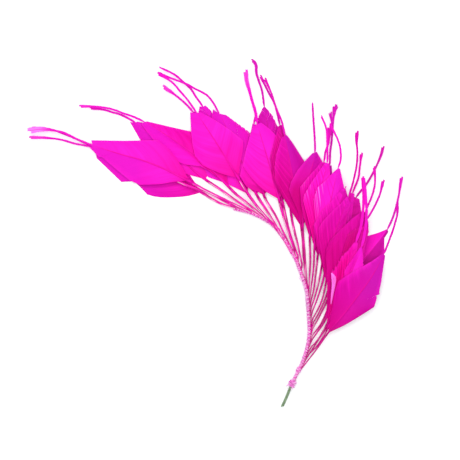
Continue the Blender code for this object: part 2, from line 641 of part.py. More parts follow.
def make_binding(curve, lengths, coating):
    """The thread binding round wire and quill ends, with its knot, as one pipe on the wire."""
    knot = nearest_length(curve, lengths, KNOT_CENTRE)
    lump = nearest_length(curve, lengths, LUMP_CENTRE)
    start = knot - 0.45 * KNOT_LENGTH
    end = lengths[-1]
    knot_part = knot + KNOT_LENGTH * np.array([-0.45, -0.25, 0.0, 0.25, 0.48])
    lump_part = lump + LUMP_LENGTH * np.array([-0.5, 0.0, 0.5])
    rest = np.linspace(lump_part[-1] + 0.004, end, 24)
    stations = np.concatenate([knot_part, lump_part, rest])
    outer = tube_rings(curve, lengths, stations,
                       [binding_radius(s, start, end, knot, lump) for s in stations])
    bore = [WIRE_RADIUS + GAP] * len(stations)
    inner = tube_rings(curve, lengths, stations, bore)
    return skin("thread_binding", outer + inner[::-1], coating, loop=True)


def make_wire(curve, lengths, coating):
    """The florist wire, from its slanting cut end through the binding to the first feather."""
    stations = np.linspace(0.0, lengths[-1] - GAP, 34)
    rings = tube_rings(curve, lengths, stations, [WIRE_RADIUS] * len(stations))
    ahead = at_length(curve, lengths, CELL) - curve[0]
    ahead /= np.linalg.norm(ahead)
    centre = curve[0]
    slanted = []
    for point in rings[0]:
        side = (np.array(point) - centre) @ np.cross(ahead, (0, 0, 1))
        slanted.append(tuple(np.array(point) + ahead * (WIRE_RADIUS + side) * WIRE_CUT_SLANT))
    rings[0] = slanted
    return skin("florist_wire", rings, coating)


def cover_spine(ground, curve):
    """Marks the bound wire on the ground up to its centre, which is where the quills leave it."""
    for offset in np.linspace(-BINDING_RADIUS, BINDING_RADIUS, 9):
        ahead = np.gradient(curve[:, :2], axis=0)
        ahead /= np.linalg.norm(ahead, axis=1)[:, None]
        across = np.stack([ahead[:, 1], -ahead[:, 0]], axis=1)
        ground.cover(curve[:, :2] + across * offset, curve[:, 2])


def make_feathers(curve, coatings):
    ground = Ground()
    cover_spine(ground, curve)
    for number in LAYERS:
        feather = FEATHERS[number]
        plan = Plan(feather, curve)
        lie = Lie(plan, ground)
        lie.settle(curve[:, 2].max() - QUILL_ROOT_RADIUS)
        lie.raise_stem()
        rings = [ring(plan, lie, i) for i in range(len(plan.s))]
        skin(f"feather_{number:02d}", rings, coatings[feather.dye])
        lie.cover(ground)


def main():
    clear_scene()
    parts = bpy.data.collections.new(COLLECTION)
    bpy.context.scene.collection.children.link(parts)
    coatings = {name: material(name, colour, 0.6) for name, colour in DYES.items()}
    curve, lengths = wire_centreline()
    make_wire(curve, lengths, material("green_paper_wire", WIRE_COLOUR, 0.75))
    make_binding(curve, lengths, material("pale_pink_thread", THREAD_COLOUR, 0.7))
    make_feathers(curve, coatings)


main()
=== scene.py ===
"""The looks of the dyed goose feather spray: barbs, quills, wound thread and paper covered wire.

Each CAD feather is replaced by one of real barbs, whose heights are read off the CAD feather itself.
Metres, +Z up. X is the photograph's right and Y its up.
"""

import math
from dataclasses import dataclass, field

import bpy
import numpy as np
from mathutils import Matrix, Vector
from mathutils.bvhtree import BVHTree


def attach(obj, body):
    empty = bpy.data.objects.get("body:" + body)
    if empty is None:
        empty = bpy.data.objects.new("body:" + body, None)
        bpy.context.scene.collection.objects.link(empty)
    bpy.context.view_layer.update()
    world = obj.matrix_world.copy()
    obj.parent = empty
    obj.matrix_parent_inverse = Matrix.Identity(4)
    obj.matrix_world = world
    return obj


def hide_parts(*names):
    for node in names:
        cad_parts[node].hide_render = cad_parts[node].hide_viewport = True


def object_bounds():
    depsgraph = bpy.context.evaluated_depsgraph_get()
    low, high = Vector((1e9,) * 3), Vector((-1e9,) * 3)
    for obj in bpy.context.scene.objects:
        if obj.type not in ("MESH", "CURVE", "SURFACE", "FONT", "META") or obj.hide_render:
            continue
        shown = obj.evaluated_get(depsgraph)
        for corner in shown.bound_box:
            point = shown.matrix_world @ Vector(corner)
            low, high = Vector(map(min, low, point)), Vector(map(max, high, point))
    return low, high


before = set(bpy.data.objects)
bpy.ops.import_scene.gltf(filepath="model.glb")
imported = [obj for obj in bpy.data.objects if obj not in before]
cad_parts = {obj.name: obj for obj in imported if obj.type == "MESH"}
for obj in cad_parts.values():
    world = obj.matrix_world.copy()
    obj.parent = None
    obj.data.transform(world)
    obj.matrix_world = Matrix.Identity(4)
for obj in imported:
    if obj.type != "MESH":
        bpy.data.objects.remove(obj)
cad_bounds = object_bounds()

# The spray's real width, and the photograph's columns and rows that bound it
SPRAY_WIDTH = 0.302
PHOTO_LEFT = 27
PHOTO_RIGHT = 404
PHOTO_TOP = 58
PHOTO_BOTTOM = 408
PHOTO_SIZE = 460
PHOTO_STEP = SPRAY_WIDTH / (PHOTO_RIGHT - PHOTO_LEFT)
PHOTO_CENTRE = ((PHOTO_LEFT + PHOTO_RIGHT) / 2, (PHOTO_TOP + PHOTO_BOTTOM) / 2)

# Feather sizes
QUILL_RADIUS = 0.0009
QUILL_ROOT_RADIUS = 0.00062
QUILL_OFF_WIRE = 0.00085
QUILL_ABOVE_WIRE = 0.0002
QUILL_TIED_FROM_TO = (0.0125, 0.004)
RACHIS_TIP_RADIUS = 0.0003
STEM_END_RADIUS = 0.00015
VANE_HALF_WIDTH = 0.017
VANE_CORNER_AT = 0.43
SHOULDER_HALF_WIDTH = 0.0017
HIDDEN_BULGE_AT = 0.45
HIDDEN_BULGE = 0.6

# Reading heights off a CAD feather: how many places along it, how near the vane's ends its slopes are
# read, and how far out, the first that meets the vane
STATIONS = 90
SLOPES_FROM = 0.004
SLOPES_UNTIL = 0.002
SLOPE_DISTANCES = (0.009, 0.006, 0.004, 0.0025)

# Barbs
BARB_SPACING = 0.00042
BARB_POINTS = 9
BOW_POINTS = 24
BARB_OVERLAP = 0.62
BARB_HALF_WIDTHS = (0.00003, 0.0003)
STEEPEST_CUT = 0.15
BARB_THICKNESS = 0.00007
VANE_LIFT = 0.00022
RIDGE = 0.5
RIDGE_WIDTH = 0.0015
RACHIS_SQUASH = 0.62
CAMBER = 0.00012
JAG_LENGTH = 0.011
BARB_UNEVENNESS = 0.00008
SLOW_RIPPLE = 0.00008
SLOW_RIPPLE_LENGTH = 0.03
STUB_SPACING = 0.00055
STUB_POINTS = 6
STEM_HALF_WIDTH = 0.00085
STUB_HALF_WIDTHS = 0.00016 * np.array([0.9, 1, 1, 1, 0.9, 0.4])
PRONG_HALF_WIDTHS = 0.00017 * np.array([0.9, 1, 1, 1, 0.8, 0.3])
STUB_RISE = 0.00009
TUFT_CUT_SLANT = 0.5
PRONG_BARBS = 7
PRONG_BARB_SPACING = 0.00022

# How far, as shares of the vane, barbs lean away from a split or a nick and step back beside a split
SPLIT_REACH = 0.06
NICK_REACH = 0.02
STEP_REACH = 0.05

# Where nicks may lie as shares of the vane, and how wide they open
NICKS_BETWEEN = (0.05, 0.95)
NICK_OPENINGS = (0.0001, 0.0004)

# The rolled edge: how many points along it and strands round it, and how wide it is, by the share of
# the way along it
FOLD_POINTS = 14
FOLD_TURNS = 11
FOLD_WIDTHS = ([0, 0.16, 0.4, 0.75, 1], [0.0002, 0.0017, 0.0013, 0.0007, 0.0001])
FOLD_HALF_WIDTH = 0.00019
FOLD_RISE = 0.00006

# Points along a quill's joint with the wire, its bare part, the rachis and the stem
JOINED_POINTS = 26
BARE_POINTS = 12
RACHIS_POINTS = 36
STEM_POINTS = 34
POINTS_IN_JOINT = 3
QUILL_SIDES = 24
SHAFT_SIDES = 12

# The sides of a bare quill that carry the painted highlight stripe, and how strongly
HIGHLIGHT_STRIPE_SIDES = ((15, 1.0), (16, 0.7))

# Wire
WIRE_RADIUS = 0.0011
HIDDEN_WIRE_RADIUS = 0.00095
WIRE_STEP = 0.00022
WIRE_SIDES = 20
PAPER_PITCH = 0.0042
PAPER_THICKNESS = 0.00005
PAPER_LAP = 0.00006
PAPER_EDGE = 0.00005
PAPER_CRINKLE = 0.00003
CUT_ROWS = 10

# Binding: its radius at the start, where it has widened and at the end, and its thread's pitch at the
# start, up to where the winding opens, after it and at the end
BINDING_RADII = (0.00135, 0.0015, 0.0014)
BINDING_WIDENS_OVER = 0.05
CORE_INSET = 0.00032
CORE_STEP = 0.0012
CORE_SIDES = 14
THREAD_RADIUS = 0.0002
THREAD_PITCHES = (0.00042, 0.00046, 0.0013, 0.0018)
WINDING_OPENS_AT = (303, 279)
WINDING_OPENS_OVER = 0.02
POINTS_PER_TURN = 14

# Threads that cross the winding: pitch, less than nothing the other way round, and first angle
CROSSING_THREADS = ((-0.0031, 0.0), (0.0047, 2.0))
CROSSING_RADIUS = 0.00013

# Knot
KNOT_TURNS = 9
KNOT_SPREAD = 0.0021
KNOT_LOOP_RADIUS = 0.0023
KNOT_THREAD_RADIUS = 0.00042
KNOT_BODY_RADIUS = 0.0021
KNOT_END_RADIUS = 0.00032
KNOT_END_ROOT = 0.0022
KNOT_ENDS = ((0.6, 0.0037), (2.5, 0.0035))

# The loose end of thread, in photograph pixels with heights
WHISKER_ROUTE = [(305.5, 287, 0.0042), (303.5, 283.5, 0.0046), (300.8, 280.3, 0.0049),
                 (298.6, 277.4, 0.0050)]

# Loose fibres: how many all along, at the knot and where they are thickest, and how far the last two
# spread
FUZZ_COUNTS = (580, 140, 380)
FUZZ_SPREADS = (0.0018, 0.009)
FUZZ_THICKEST_AT = (307, 300)
FUZZ_LENGTHS = (0.0006, 0.0019)
FUZZ_POINTS = 5
FUZZ_HALF_WIDTHS = 0.00005 * np.array([1, 1, 0.9, 0.7, 0.3])

# Light and table
WORLD_COLOUR = (0.96, 0.97, 1.0, 1.0)
WORLD_STRENGTH = 0.52
KEY_AT = (0.0, 0.2, 0.92)
KEY_AIM = (-0.05, 0, 0)
KEY_SIZE = 1.4
KEY_POWER = 10.9
KEY_COLOUR = (1.0, 0.98, 0.97)
TABLE_COLOUR = (0.84, 0.88, 0.88, 1.0)
TABLE_GLOW = 0.2
TABLE_HALF_SIZE = 1.6
TABLE_GAP = 0.00002

# Camera
CAMERA_HEIGHT = 2.0
SPRAY_MID_HEIGHT = 0.008
SENSOR = 36.0

POINTS_PER_SPAN = 12
UV_PER_METRE = 100
ON_TABLE = 0.00001

BRIGHT = "dye_bright_pink"
DEEP = "dye_deep_pink"
PURPLE = "dye_purple_pink"


@dataclass
class Feather:
    """One feather's plan, in photograph pixels. Left and right are as seen from root to tip."""

    root: tuple
    quill: list
    base: tuple
    rachis: list
    tip: tuple
    wisp: list
    left: list = field(default_factory=list)
    right: list = field(default_factory=list)
    hidden_width: float = VANE_HALF_WIDTH
    tuft_length: float = 0.009
    tuft_half_width: float = 0.0013
    dye: str = BRIGHT


FEATHERS = {
    1: Feather(
        root=(248, 211), quill=[(228, 201), (205, 190)], base=(189, 181),
        rachis=[(175, 174), (160, 167), (140, 159.5), (120, 154)], tip=(92, 145),
        left=[(175, 181.5), (160, 184), (140, 184.8), (129.5, 180.5), (115, 168.5), (102, 157.3),
              (98.3, 156.5), (89.8, 148)],
        right=[(183, 169), (178, 161), (172, 153), (165, 146), (157, 140), (125, 140.5), (91, 140)],
        wisp=[(77, 139), (63.6, 132.5), (54, 130.5), (43, 129), (27, 131)],
        tuft_length=0.019, tuft_half_width=0.0027),
    2: Feather(
        root=(237, 208), quill=[(220, 199), (205, 191.5), (189, 186)], base=(173, 179),
        rachis=[(150, 168), (120, 156)], tip=(93, 147),
        left=[(158, 181), (134, 181), (121, 181.8), (96.2, 158), (94.5, 150)],
        wisp=[(75, 143.5), (60.5, 139.5), (43, 137.5), (28.5, 137.5)],
        tuft_length=0.018, tuft_half_width=0.0014, dye=DEEP),
    3: Feather(
        root=(230, 206.5), quill=[(222, 204), (212, 199)], base=(201, 192),
        rachis=[(175, 180), (150, 169), (125, 158)], tip=(100, 149),
        left=[(190, 195.5), (177, 197), (157, 197), (147, 194.5), (138, 185), (104, 156)],
        wisp=[(82, 141.5), (72, 137), (62, 133), (50, 129), (31, 127.5)],
        tuft_length=0.015, tuft_half_width=0.0012, dye=DEEP),
    4: Feather(
        root=(264, 218), quill=[(258, 212), (246, 202), (236, 194)], base=(228, 186),
        rachis=[(212, 170), (195, 155.5), (170, 137.5)], tip=(144, 121.5),
        left=[(216, 176), (203, 167), (195, 165.5), (183, 164), (178, 161.5), (168, 159), (141, 124)],
        right=[(226, 172), (215, 152), (200, 134), (190, 131), (170, 126.5), (147, 121)],
        wisp=[(131, 115.6), (123, 113), (112, 109), (97, 106.5), (78.5, 106)],
        tuft_length=0.01, tuft_half_width=0.0015),
    5: Feather(
        root=(256, 213.5), quill=[(237, 201), (220, 189)], base=(205, 179),
        rachis=[(185, 163), (165, 147), (150, 134)], tip=(135.5, 122.5),
        left=[(190, 175), (172, 170), (155, 162), (139, 138), (129.5, 121.5)],
        right=[(208.5, 174), (207, 164), (202, 152), (190, 138), (160, 126), (136.5, 121)],
        wisp=[(119.5, 114), (112, 112), (104, 109.5), (89, 107.6)], dye=DEEP),
    6: Feather(
        root=(276, 228), quill=[(258, 207), (247, 192)], base=(238, 177.5),
        rachis=[(224, 155), (210, 133)], tip=(196.5, 112.5),
        left=[(226, 175), (215, 171), (203, 165), (195, 156), (192.5, 145), (191, 131), (190, 112)],
        right=[(240, 165), (243, 148), (243, 140.5), (230, 130), (215, 120), (201, 112)],
        wisp=[(187, 99), (180, 91), (173, 83), (166, 78), (157, 73)],
        tuft_half_width=0.0015),
    7: Feather(
        root=(272, 224), quill=[(256, 205)], base=(248, 194),
        rachis=[(222, 155)], tip=(193, 112),
        left=[(236, 188), (225, 183), (208, 177), (203, 165), (191, 114)],
        wisp=[(185, 103), (175.5, 95), (162, 85.5)],
        tuft_length=0.011, tuft_half_width=0.002, dye=DEEP),
    8: Feather(
        root=(268, 220), quill=[(255, 203)], base=(243, 186),
        rachis=[(225, 147)], tip=(203, 106.5), hidden_width=0.012,
        left=[(232, 176), (215, 157), (203, 140), (197, 122), (199.3, 105.8)],
        right=[(246, 170), (238, 150), (215, 119), (211, 110), (205, 104.5)],
        wisp=[(196, 96.6), (190.7, 88.6), (183.6, 82), (174.6, 74.3), (158.6, 66.5)],
        tuft_length=0.004, tuft_half_width=0.0006, dye=DEEP),
    9: Feather(
        root=(285, 240), quill=[(266, 209)], base=(257, 195),
        rachis=[(238, 154)], tip=(219, 113), hidden_width=0.014,
        left=[(247, 186), (236, 174), (222, 160), (212, 142), (210, 125), (213, 109)],
        right=[(261, 180), (258, 155), (251, 133), (232, 119), (226, 114.5)],
        wisp=[(208, 96), (194, 88), (187, 84), (175, 79.6), (157, 72.5)], dye=DEEP),
    10: Feather(
        root=(294, 249), quill=[(290, 236), (284, 218)], base=(279, 199),
        rachis=[(275, 185), (267, 157), (262, 140)], tip=(257.5, 124),
        left=[(268, 193), (258, 185), (250, 176), (243, 166), (246, 150), (248, 143), (253, 126)],
        right=[(284, 190), (288, 165), (283, 143), (276, 135), (270, 129), (261, 122)],
        wisp=[(255.5, 112), (252, 100), (249, 89), (247, 82), (245.5, 69)],
        tuft_length=0.02, tuft_half_width=0.0021),
    11: Feather(
        root=(288, 243), quill=[(276, 216)], base=(264, 195),
        rachis=[(262, 170), (258, 147)], tip=(254, 124),
        left=[(256, 191), (247, 187), (240, 176), (243, 160), (248, 143), (251, 131), (252.5, 123)],
        wisp=[(256, 114), (253.5, 104)], tuft_length=0.004, tuft_half_width=0.0006, dye=DEEP),
    12: Feather(
        root=(298, 256), quill=[(290, 233)], base=(283, 203),
        rachis=[(276, 170), (271, 145)], tip=(264.5, 106.5), hidden_width=0.014,
        left=[(262, 180), (253, 150), (254, 134), (258, 117.5), (263, 107)],
        right=[(288, 180), (284, 150), (278, 126), (272, 114), (266, 107)],
        wisp=[(262, 90), (259, 81), (256.6, 73), (255.7, 63.4), (251.1, 58.9)],
        tuft_length=0.016, tuft_half_width=0.0014, dye=PURPLE),
    13: Feather(
        root=(302, 265), quill=[(298, 245), (293, 224)], base=(291, 211),
        rachis=[(288, 180), (285, 155)], tip=(280, 125), hidden_width=0.012,
        left=[(284, 199), (276, 187), (273, 178), (271, 163), (270, 158), (274, 142), (278.5, 126)],
        wisp=[(276.3, 109), (273.6, 101), (269, 93), (264.6, 84), (260, 74.6)],
        dye=PURPLE),
    14: Feather(
        root=(306, 280), quill=[(304, 262), (303, 240)], base=(301.5, 227),
        rachis=[(296, 195), (292, 173), (287, 147)], tip=(285, 136),
        left=[(292, 212), (283, 197), (275, 180), (274.5, 168), (276, 155), (282, 137)],
        right=[(306, 210), (308, 185), (305, 162), (300, 154), (293, 143), (287, 135)],
        wisp=[(281.6, 121), (278, 112.5), (274.5, 103.6), (271.8, 94.6), (264.6, 77.7)]),
    15: Feather(
        root=(307, 287.5), quill=[(305, 255)], base=(303, 226),
        rachis=[(305, 200), (309, 178)], tip=(315, 152.5), hidden_width=0.014,
        left=[(297, 209), (292, 198), (289, 190), (291, 182), (297, 171), (304, 162), (312.5, 153)],
        right=[(310, 212), (318, 192), (324, 172), (322.5, 161), (317, 151.5)],
        wisp=[(314.6, 135), (313.4, 117), (312.5, 102)],
        tuft_length=0.006, tuft_half_width=0.0008),
    16: Feather(
        root=(308.5, 293), quill=[(310.5, 262)], base=(310, 238),
        rachis=[(311, 212), (316, 188)], tip=(324, 162), hidden_width=0.014,
        left=[(306, 226), (301.5, 207), (300.5, 196), (300, 187), (309, 176), (316, 168.5), (321, 162)],
        wisp=[(325.7, 151), (328.4, 144), (329.3, 133), (329.6, 125)],
        tuft_length=0.012, tuft_half_width=0.002),
    17: Feather(
        root=(309.5, 299), quill=[(313.5, 270)], base=(314.5, 250),
        rachis=[(315, 222), (319, 195)], tip=(327, 163), hidden_width=0.014,
        left=[(312, 236), (308, 219), (305, 208), (303, 200), (304, 195), (311, 183), (325, 163)],
        wisp=[(327.3, 152.5), (327, 140), (326.2, 129), (320.8, 115.4)],
        tuft_length=0.006, tuft_half_width=0.001),
    18: Feather(
        root=(309.5, 305), quill=[(313.5, 292), (316.5, 270)], base=(318, 256),
        rachis=[(321, 228), (325, 196)], tip=(330, 165), hidden_width=0.011,
        wisp=[(330.6, 151), (332, 140), (333, 126), (333.8, 117), (335.5, 103.4)],
        tuft_length=0.01, tuft_half_width=0.0022, dye=PURPLE),
    19: Feather(
        root=(309.5, 311.5), quill=[(315, 297)], base=(322, 266),
        rachis=[(324, 235), (330, 203)], tip=(338, 168),
        left=[(319, 250), (316, 225), (313.5, 199), (317, 188), (326, 180), (334, 171.5)],
        right=[(338, 245), (347, 207), (344, 187), (342, 178), (340, 169)],
        wisp=[(340.4, 160), (340.4, 152), (338.7, 143), (329.3, 123)],
        tuft_length=0.005, tuft_half_width=0.0008),
    20: Feather(
        root=(309.5, 318), quill=[(318, 297)], base=(324, 277),
        rachis=[(327, 250), (335, 218)], tip=(345, 188),
        left=[(322, 262), (318, 250), (315, 235), (313.5, 225), (321, 212), (336, 196), (342, 189)],
        right=[(342, 250), (349, 222), (347.5, 196)],
        wisp=[(345.4, 187), (345.7, 186)], tuft_length=0.0004, tuft_half_width=0.0004),
    21: Feather(
        root=(309.5, 324.5), quill=[(321, 303)], base=(326, 283),
        rachis=[(329, 255), (337, 226)], tip=(348, 197),
        left=[(321, 252), (319, 240), (318.5, 228), (322, 222), (332, 211), (341, 203), (346, 197)],
        right=[(336, 262), (344, 236), (347, 215), (350, 203)],
        wisp=[(351.6, 186), (356, 166), (356.8, 152), (356, 142), (356.5, 130.6)],
        tuft_length=0.012, tuft_half_width=0.0017),
    22: Feather(
        root=(309.5, 329.5), quill=[(321, 309)], base=(329, 288),
        rachis=[(335, 255), (344, 225)], tip=(353, 193), hidden_width=0.009,
        wisp=[(358.8, 177.5), (360, 168), (361.9, 152)],
        tuft_length=0.006, tuft_half_width=0.0016, dye=DEEP),
    23: Feather(
        root=(309.5, 334.5), quill=[(322, 312)], base=(331, 291),
        rachis=[(338, 258), (347, 228)], tip=(356.5, 197.5), hidden_width=0.009,
        right=[(352, 262), (360, 232), (362, 212), (360, 199)],
        wisp=[(366.8, 184), (374.8, 170), (381, 156), (383.8, 145.4)],
        tuft_length=0.012, tuft_half_width=0.0014, dye=PURPLE),
    24: Feather(
        root=(308.5, 340), quill=[(320, 326)], base=(327, 312),
        rachis=[(338, 280), (352, 247)], tip=(365, 212), hidden_width=0.009,
        left=[(327, 275), (326, 250), (330, 240), (338, 232), (352, 218.5), (362, 211.5)],
        wisp=[(371.3, 197), (373.9, 188), (374.8, 179), (373.5, 166)], dye=DEEP),
    25: Feather(
        root=(307.5, 346), quill=[(317, 333)], base=(325, 321),
        rachis=[(340, 285), (354, 252)], tip=(367, 219),
        left=[(328, 300), (336, 272), (345, 243), (347.5, 234), (355, 229), (362, 226)],
        right=[(352, 292), (362, 262), (366, 240), (368.5, 232), (368, 222)],
        wisp=[(371, 212), (375.7, 203), (379.3, 194.5), (382.9, 179.3)],
        tuft_half_width=0.0016, dye=PURPLE),
    26: Feather(
        root=(306, 352.5), quill=[(318, 340)], base=(326.5, 327),
        rachis=[(336, 300), (346, 270)], tip=(355.5, 242), hidden_width=0.011,
        left=[(329, 305), (332, 290), (331.5, 272), (337, 265), (341, 257), (348, 250), (354, 242)],
        wisp=[(360, 228), (362, 215), (363, 197), (361.9, 176)],
        tuft_length=0.034, tuft_half_width=0.0014),
    27: Feather(
        root=(304.5, 358.5), quill=[(318, 345)], base=(327.5, 329),
        rachis=[(340, 300), (351, 272)], tip=(361, 247),
        left=[(332, 318), (340, 300), (344, 280), (344, 271), (347, 266), (353, 257), (359, 248)],
        right=[(348, 310), (360, 285), (363, 265), (362, 249)],
        wisp=[(365, 228), (366, 215), (365, 197), (363, 178)],
        tuft_length=0.036, tuft_half_width=0.0013),
    28: Feather(
        root=(303, 363.5), quill=[(318, 341)], base=(331, 317),
        rachis=[(346, 288), (363, 262), (375, 247)], tip=(388, 229),
        left=[(333, 300), (345, 268), (357, 240), (366, 236.5), (378, 233), (386.5, 229.5)],
        right=[(345, 312), (368, 290), (383, 262), (385, 250), (385, 238), (389, 232)],
        wisp=[(394.5, 214), (398.5, 199), (402.2, 176)],
        tuft_length=0.012, tuft_half_width=0.0015, dye=PURPLE),
    29: Feather(
        root=(301.5, 369), quill=[(316, 350)], base=(328, 333),
        rachis=[(345, 312), (358, 295), (371, 277)], tip=(383.5, 254),
        left=[(330, 320), (332, 308), (335, 290), (338, 281), (350, 273), (372, 261), (381, 254.5)],
        right=[(345, 325), (360, 316), (374, 307), (377.5, 297), (381, 283), (385, 256)],
        wisp=[(389, 240), (392.7, 230), (395, 222), (397, 214), (396.5, 202)],
        tuft_half_width=0.0015),
}

# The wire's route in photograph pixels with the height of its centre, from the bare cut end
WIRE_ROUTE = [
    (282, 408, 0.0012), (286.5, 398, 0.0019), (291.3, 386, 0.0033), (297, 374, 0.0032),
    (302, 364, 0.003), (305.2, 355, 0.003), (308, 345, 0.003), (309.5, 332, 0.003),
    (309, 318, 0.003), (308, 303, 0.003), (307, 292, 0.003), (305, 284, 0.003),
    (301, 273, 0.003), (297, 262, 0.003), (291, 250, 0.003), (284, 238, 0.003),
    (277, 229, 0.003), (268, 221.5, 0.003), (258, 216, 0.0029), (248, 212, 0.0027),
    (240, 210, 0.0025), (233, 208.5, 0.0024),
]
KNOT_CENTRE = (291.5, 383.5)
LUMP_CENTRE = (298.5, 370)
LUMP_LENGTH = 0.004
LUMP_RADIUS = 0.0023
WIRE_CUT_SLANT = 0.9
WIRE_END_GAP = 0.0003


def place(pixel):
    """The plan position in metres of a photograph pixel."""
    x = (pixel[0] - PHOTO_CENTRE[0]) * PHOTO_STEP
    y = (PHOTO_CENTRE[1] - pixel[1]) * PHOTO_STEP
    return np.array([x, y])


def smooth_curve(points, per_span=POINTS_PER_SPAN):
    """Points along a smooth curve through the given points, and the index of each given point."""
    points = np.array(points, dtype=float)
    padded = np.vstack([2 * points[0] - points[1], points, 2 * points[-1] - points[-2]])
    steps = np.sqrt(np.linalg.norm(np.diff(padded, axis=0), axis=1))
    knots = np.concatenate([[0.0], np.cumsum(steps)])
    out = []
    for i in range(1, len(points)):
        a, b, c, d = padded[i - 1:i + 3]
        ta, tb, tc, td = knots[i - 1:i + 3]
        for t in np.linspace(tb, tc, per_span, endpoint=False):
            ab = a * (tb - t) / (tb - ta) + b * (t - ta) / (tb - ta)
            bc = b * (tc - t) / (tc - tb) + c * (t - tb) / (tc - tb)
            cd = c * (td - t) / (td - tc) + d * (t - tc) / (td - tc)
            abc = ab * (tc - t) / (tc - ta) + bc * (t - ta) / (tc - ta)
            bcd = bc * (td - t) / (td - tb) + cd * (t - tb) / (td - tb)
            out.append(abc * (tc - t) / (tc - tb) + bcd * (t - tb) / (tc - tb))
    out.append(points[-1])
    return np.array(out), [i * per_span for i in range(len(points))]


def lengths_along(curve):
    return np.concatenate([[0.0], np.cumsum(np.linalg.norm(np.diff(curve, axis=0), axis=1))])


def at_length(curve, lengths, s):
    """The points of a curve at the lengths s."""
    return np.stack([np.interp(s, lengths, curve[:, k]) for k in range(curve.shape[1])], axis=-1)


def resample(curve, count):
    lengths = lengths_along(curve)
    return at_length(curve, lengths, np.linspace(0, lengths[-1], count))


def plan_route(route, count):
    """A number of points in metres along a smooth curve through photograph pixels."""
    return resample(smooth_curve([place(p) for p in route])[0], count)


def turned(v):
    """The direction a quarter turn clockwise of v, in plan: to the right of it."""
    return np.stack([v[..., 1], -v[..., 0]], axis=-1)


def unit(v):
    return v / np.maximum(np.linalg.norm(v, axis=-1, keepdims=True), 1e-12)


def wave(x, random, count=4, longest=1.0):
    """A smooth irregular function of x, about from -1 to 1: a few sines of falling length."""
    total = np.zeros_like(x, dtype=float)
    for k in range(count):
        length = longest / (1.7 ** k)
        total += math.sqrt(0.6 ** k) * np.sin(2 * math.pi * x / length + random.uniform(0, 2 * math.pi))
    return total / 1.9


class MeshParts:
    """Gathers vertices, faces and their values, to make one mesh at the end."""

    def __init__(self):
        self.points = []
        self.faces = []
        self.uv = []
        self.tone = []
        self.out = []
        self.along = []
        self.slots = []
        self.count = 0

    def add(self, points, faces, uv, tone, out, slot, along=0.5):
        """Points (n, 3), faces (m, 4) with -1 for the last of a triangle, values per point."""
        self.points.append(points)
        self.faces.append(np.where(faces < 0, faces, faces + self.count))
        self.uv.append(uv)
        self.tone.append(tone)
        self.out.append(out)
        self.along.append(np.broadcast_to(along, len(points)))
        self.slots.append(np.full(len(faces), slot))
        self.count += len(points)

    def make(self, name, materials, smooth_slots=()):
        points = np.concatenate(self.points)
        points[:, 2] = np.maximum(points[:, 2], ON_TABLE)
        faces = np.concatenate(self.faces)
        slots = np.concatenate(self.slots)
        uv = np.concatenate(self.uv)
        mesh = bpy.data.meshes.new(name)
        triangles = faces[:, 3] < 0
        sizes = np.where(triangles, 3, 4)
        loops = faces.ravel()[faces.ravel() >= 0]
        mesh.vertices.add(len(points))
        mesh.vertices.foreach_set("co", points.astype(np.float32).ravel())
        mesh.loops.add(len(loops))
        mesh.loops.foreach_set("vertex_index", loops.astype(np.int32))
        mesh.polygons.add(len(faces))
        starts = np.concatenate([[0], np.cumsum(sizes)[:-1]]).astype(np.int32)
        mesh.polygons.foreach_set("loop_start", starts)
        mesh.polygons.foreach_set("material_index", slots.astype(np.int32))
        smooth = np.isin(slots, list(smooth_slots))
        mesh.polygons.foreach_set("use_smooth", smooth)
        layer = mesh.uv_layers.new(name="UVMap")
        layer.data.foreach_set("uv", uv[loops].astype(np.float32).ravel())
        for label, values in (("tone", self.tone), ("out", self.out), ("along", self.along)):
            attribute = mesh.attributes.new(label, "FLOAT", "POINT")
            attribute.data.foreach_set("value", np.concatenate(values).astype(np.float32))
        mesh.update(calc_edges=True)
        mesh.validate()
        for material in materials:
            mesh.materials.append(material)
        thing = bpy.data.objects.new(name, mesh)
        bpy.context.scene.collection.objects.link(thing)
        return thing


def prism_faces(rows, count, sides):
    """Faces of many closed strands, each of rows rings with that many sides."""
    ring = np.arange(sides)
    ahead = (ring + 1) % sides
    one = np.arange(rows - 1)[:, None] * sides
    quads = np.stack([one + ring, one + ahead, one + ahead + sides, one + ring + sides], axis=-1)
    quads = quads.reshape(-1, 4)
    last = (rows - 1) * sides
    caps = []
    for k in range(1, sides - 1):
        caps.append([0, k + 1, k, -1])
        caps.append([last, last + k, last + k + 1, -1])
    block = np.concatenate([quads, np.array(caps)])
    offsets = (np.arange(count) * rows * sides)[:, None, None]
    many = np.where(block[None] < 0, -1, block[None] + offsets)
    return many.reshape(-1, 4)


def strand_sides(centre, across, half, z, rise):
    """Strands' left edges, ridges and right edges, from their centres in plan and their heights."""
    sides = []
    for sign in (-1, 0, 1):
        xy = centre + sign * half * across
        sides.append(np.concatenate([xy, (z + (rise if sign == 0 else 0))[..., None]], axis=-1))
    return sides


def add_strands(parts, left, ridge, right, uv, tone, out, slot, along=None):
    """Closed three sided strands from their left edges, ridges and right edges, each (b, n, 3)."""
    count, rows = ridge.shape[:2]
    points = np.stack([left, ridge, right], axis=2).reshape(-1, 3)
    along = np.full((count, rows), 0.5) if along is None else along
    spread = [np.repeat(v.reshape(count * rows, -1), 3, axis=0) for v in (uv, tone, out, along)]
    parts.add(points, prism_faces(rows, count, 3), spread[0], spread[1].ravel(), spread[2].ravel(), slot,
              spread[3].ravel())


def ring_directions(side, above, sides, flat=1.0):
    """Directions (n, sides, 3) from a tube's centre to the corners of its rings."""
    angles = -2 * math.pi * (np.arange(sides) + 0.5) / sides
    return (np.cos(angles)[None, :, None] * side[:, None, :]
            + flat * np.sin(angles)[None, :, None] * above[:, None, :])


def tube_uv(s, sides):
    """Texture places: the length along the tube and the share of the way round it."""
    pair = np.broadcast_arrays(s[:, None] * UV_PER_METRE, np.arange(sides)[None, :] / sides)
    return np.stack(pair, axis=-1)


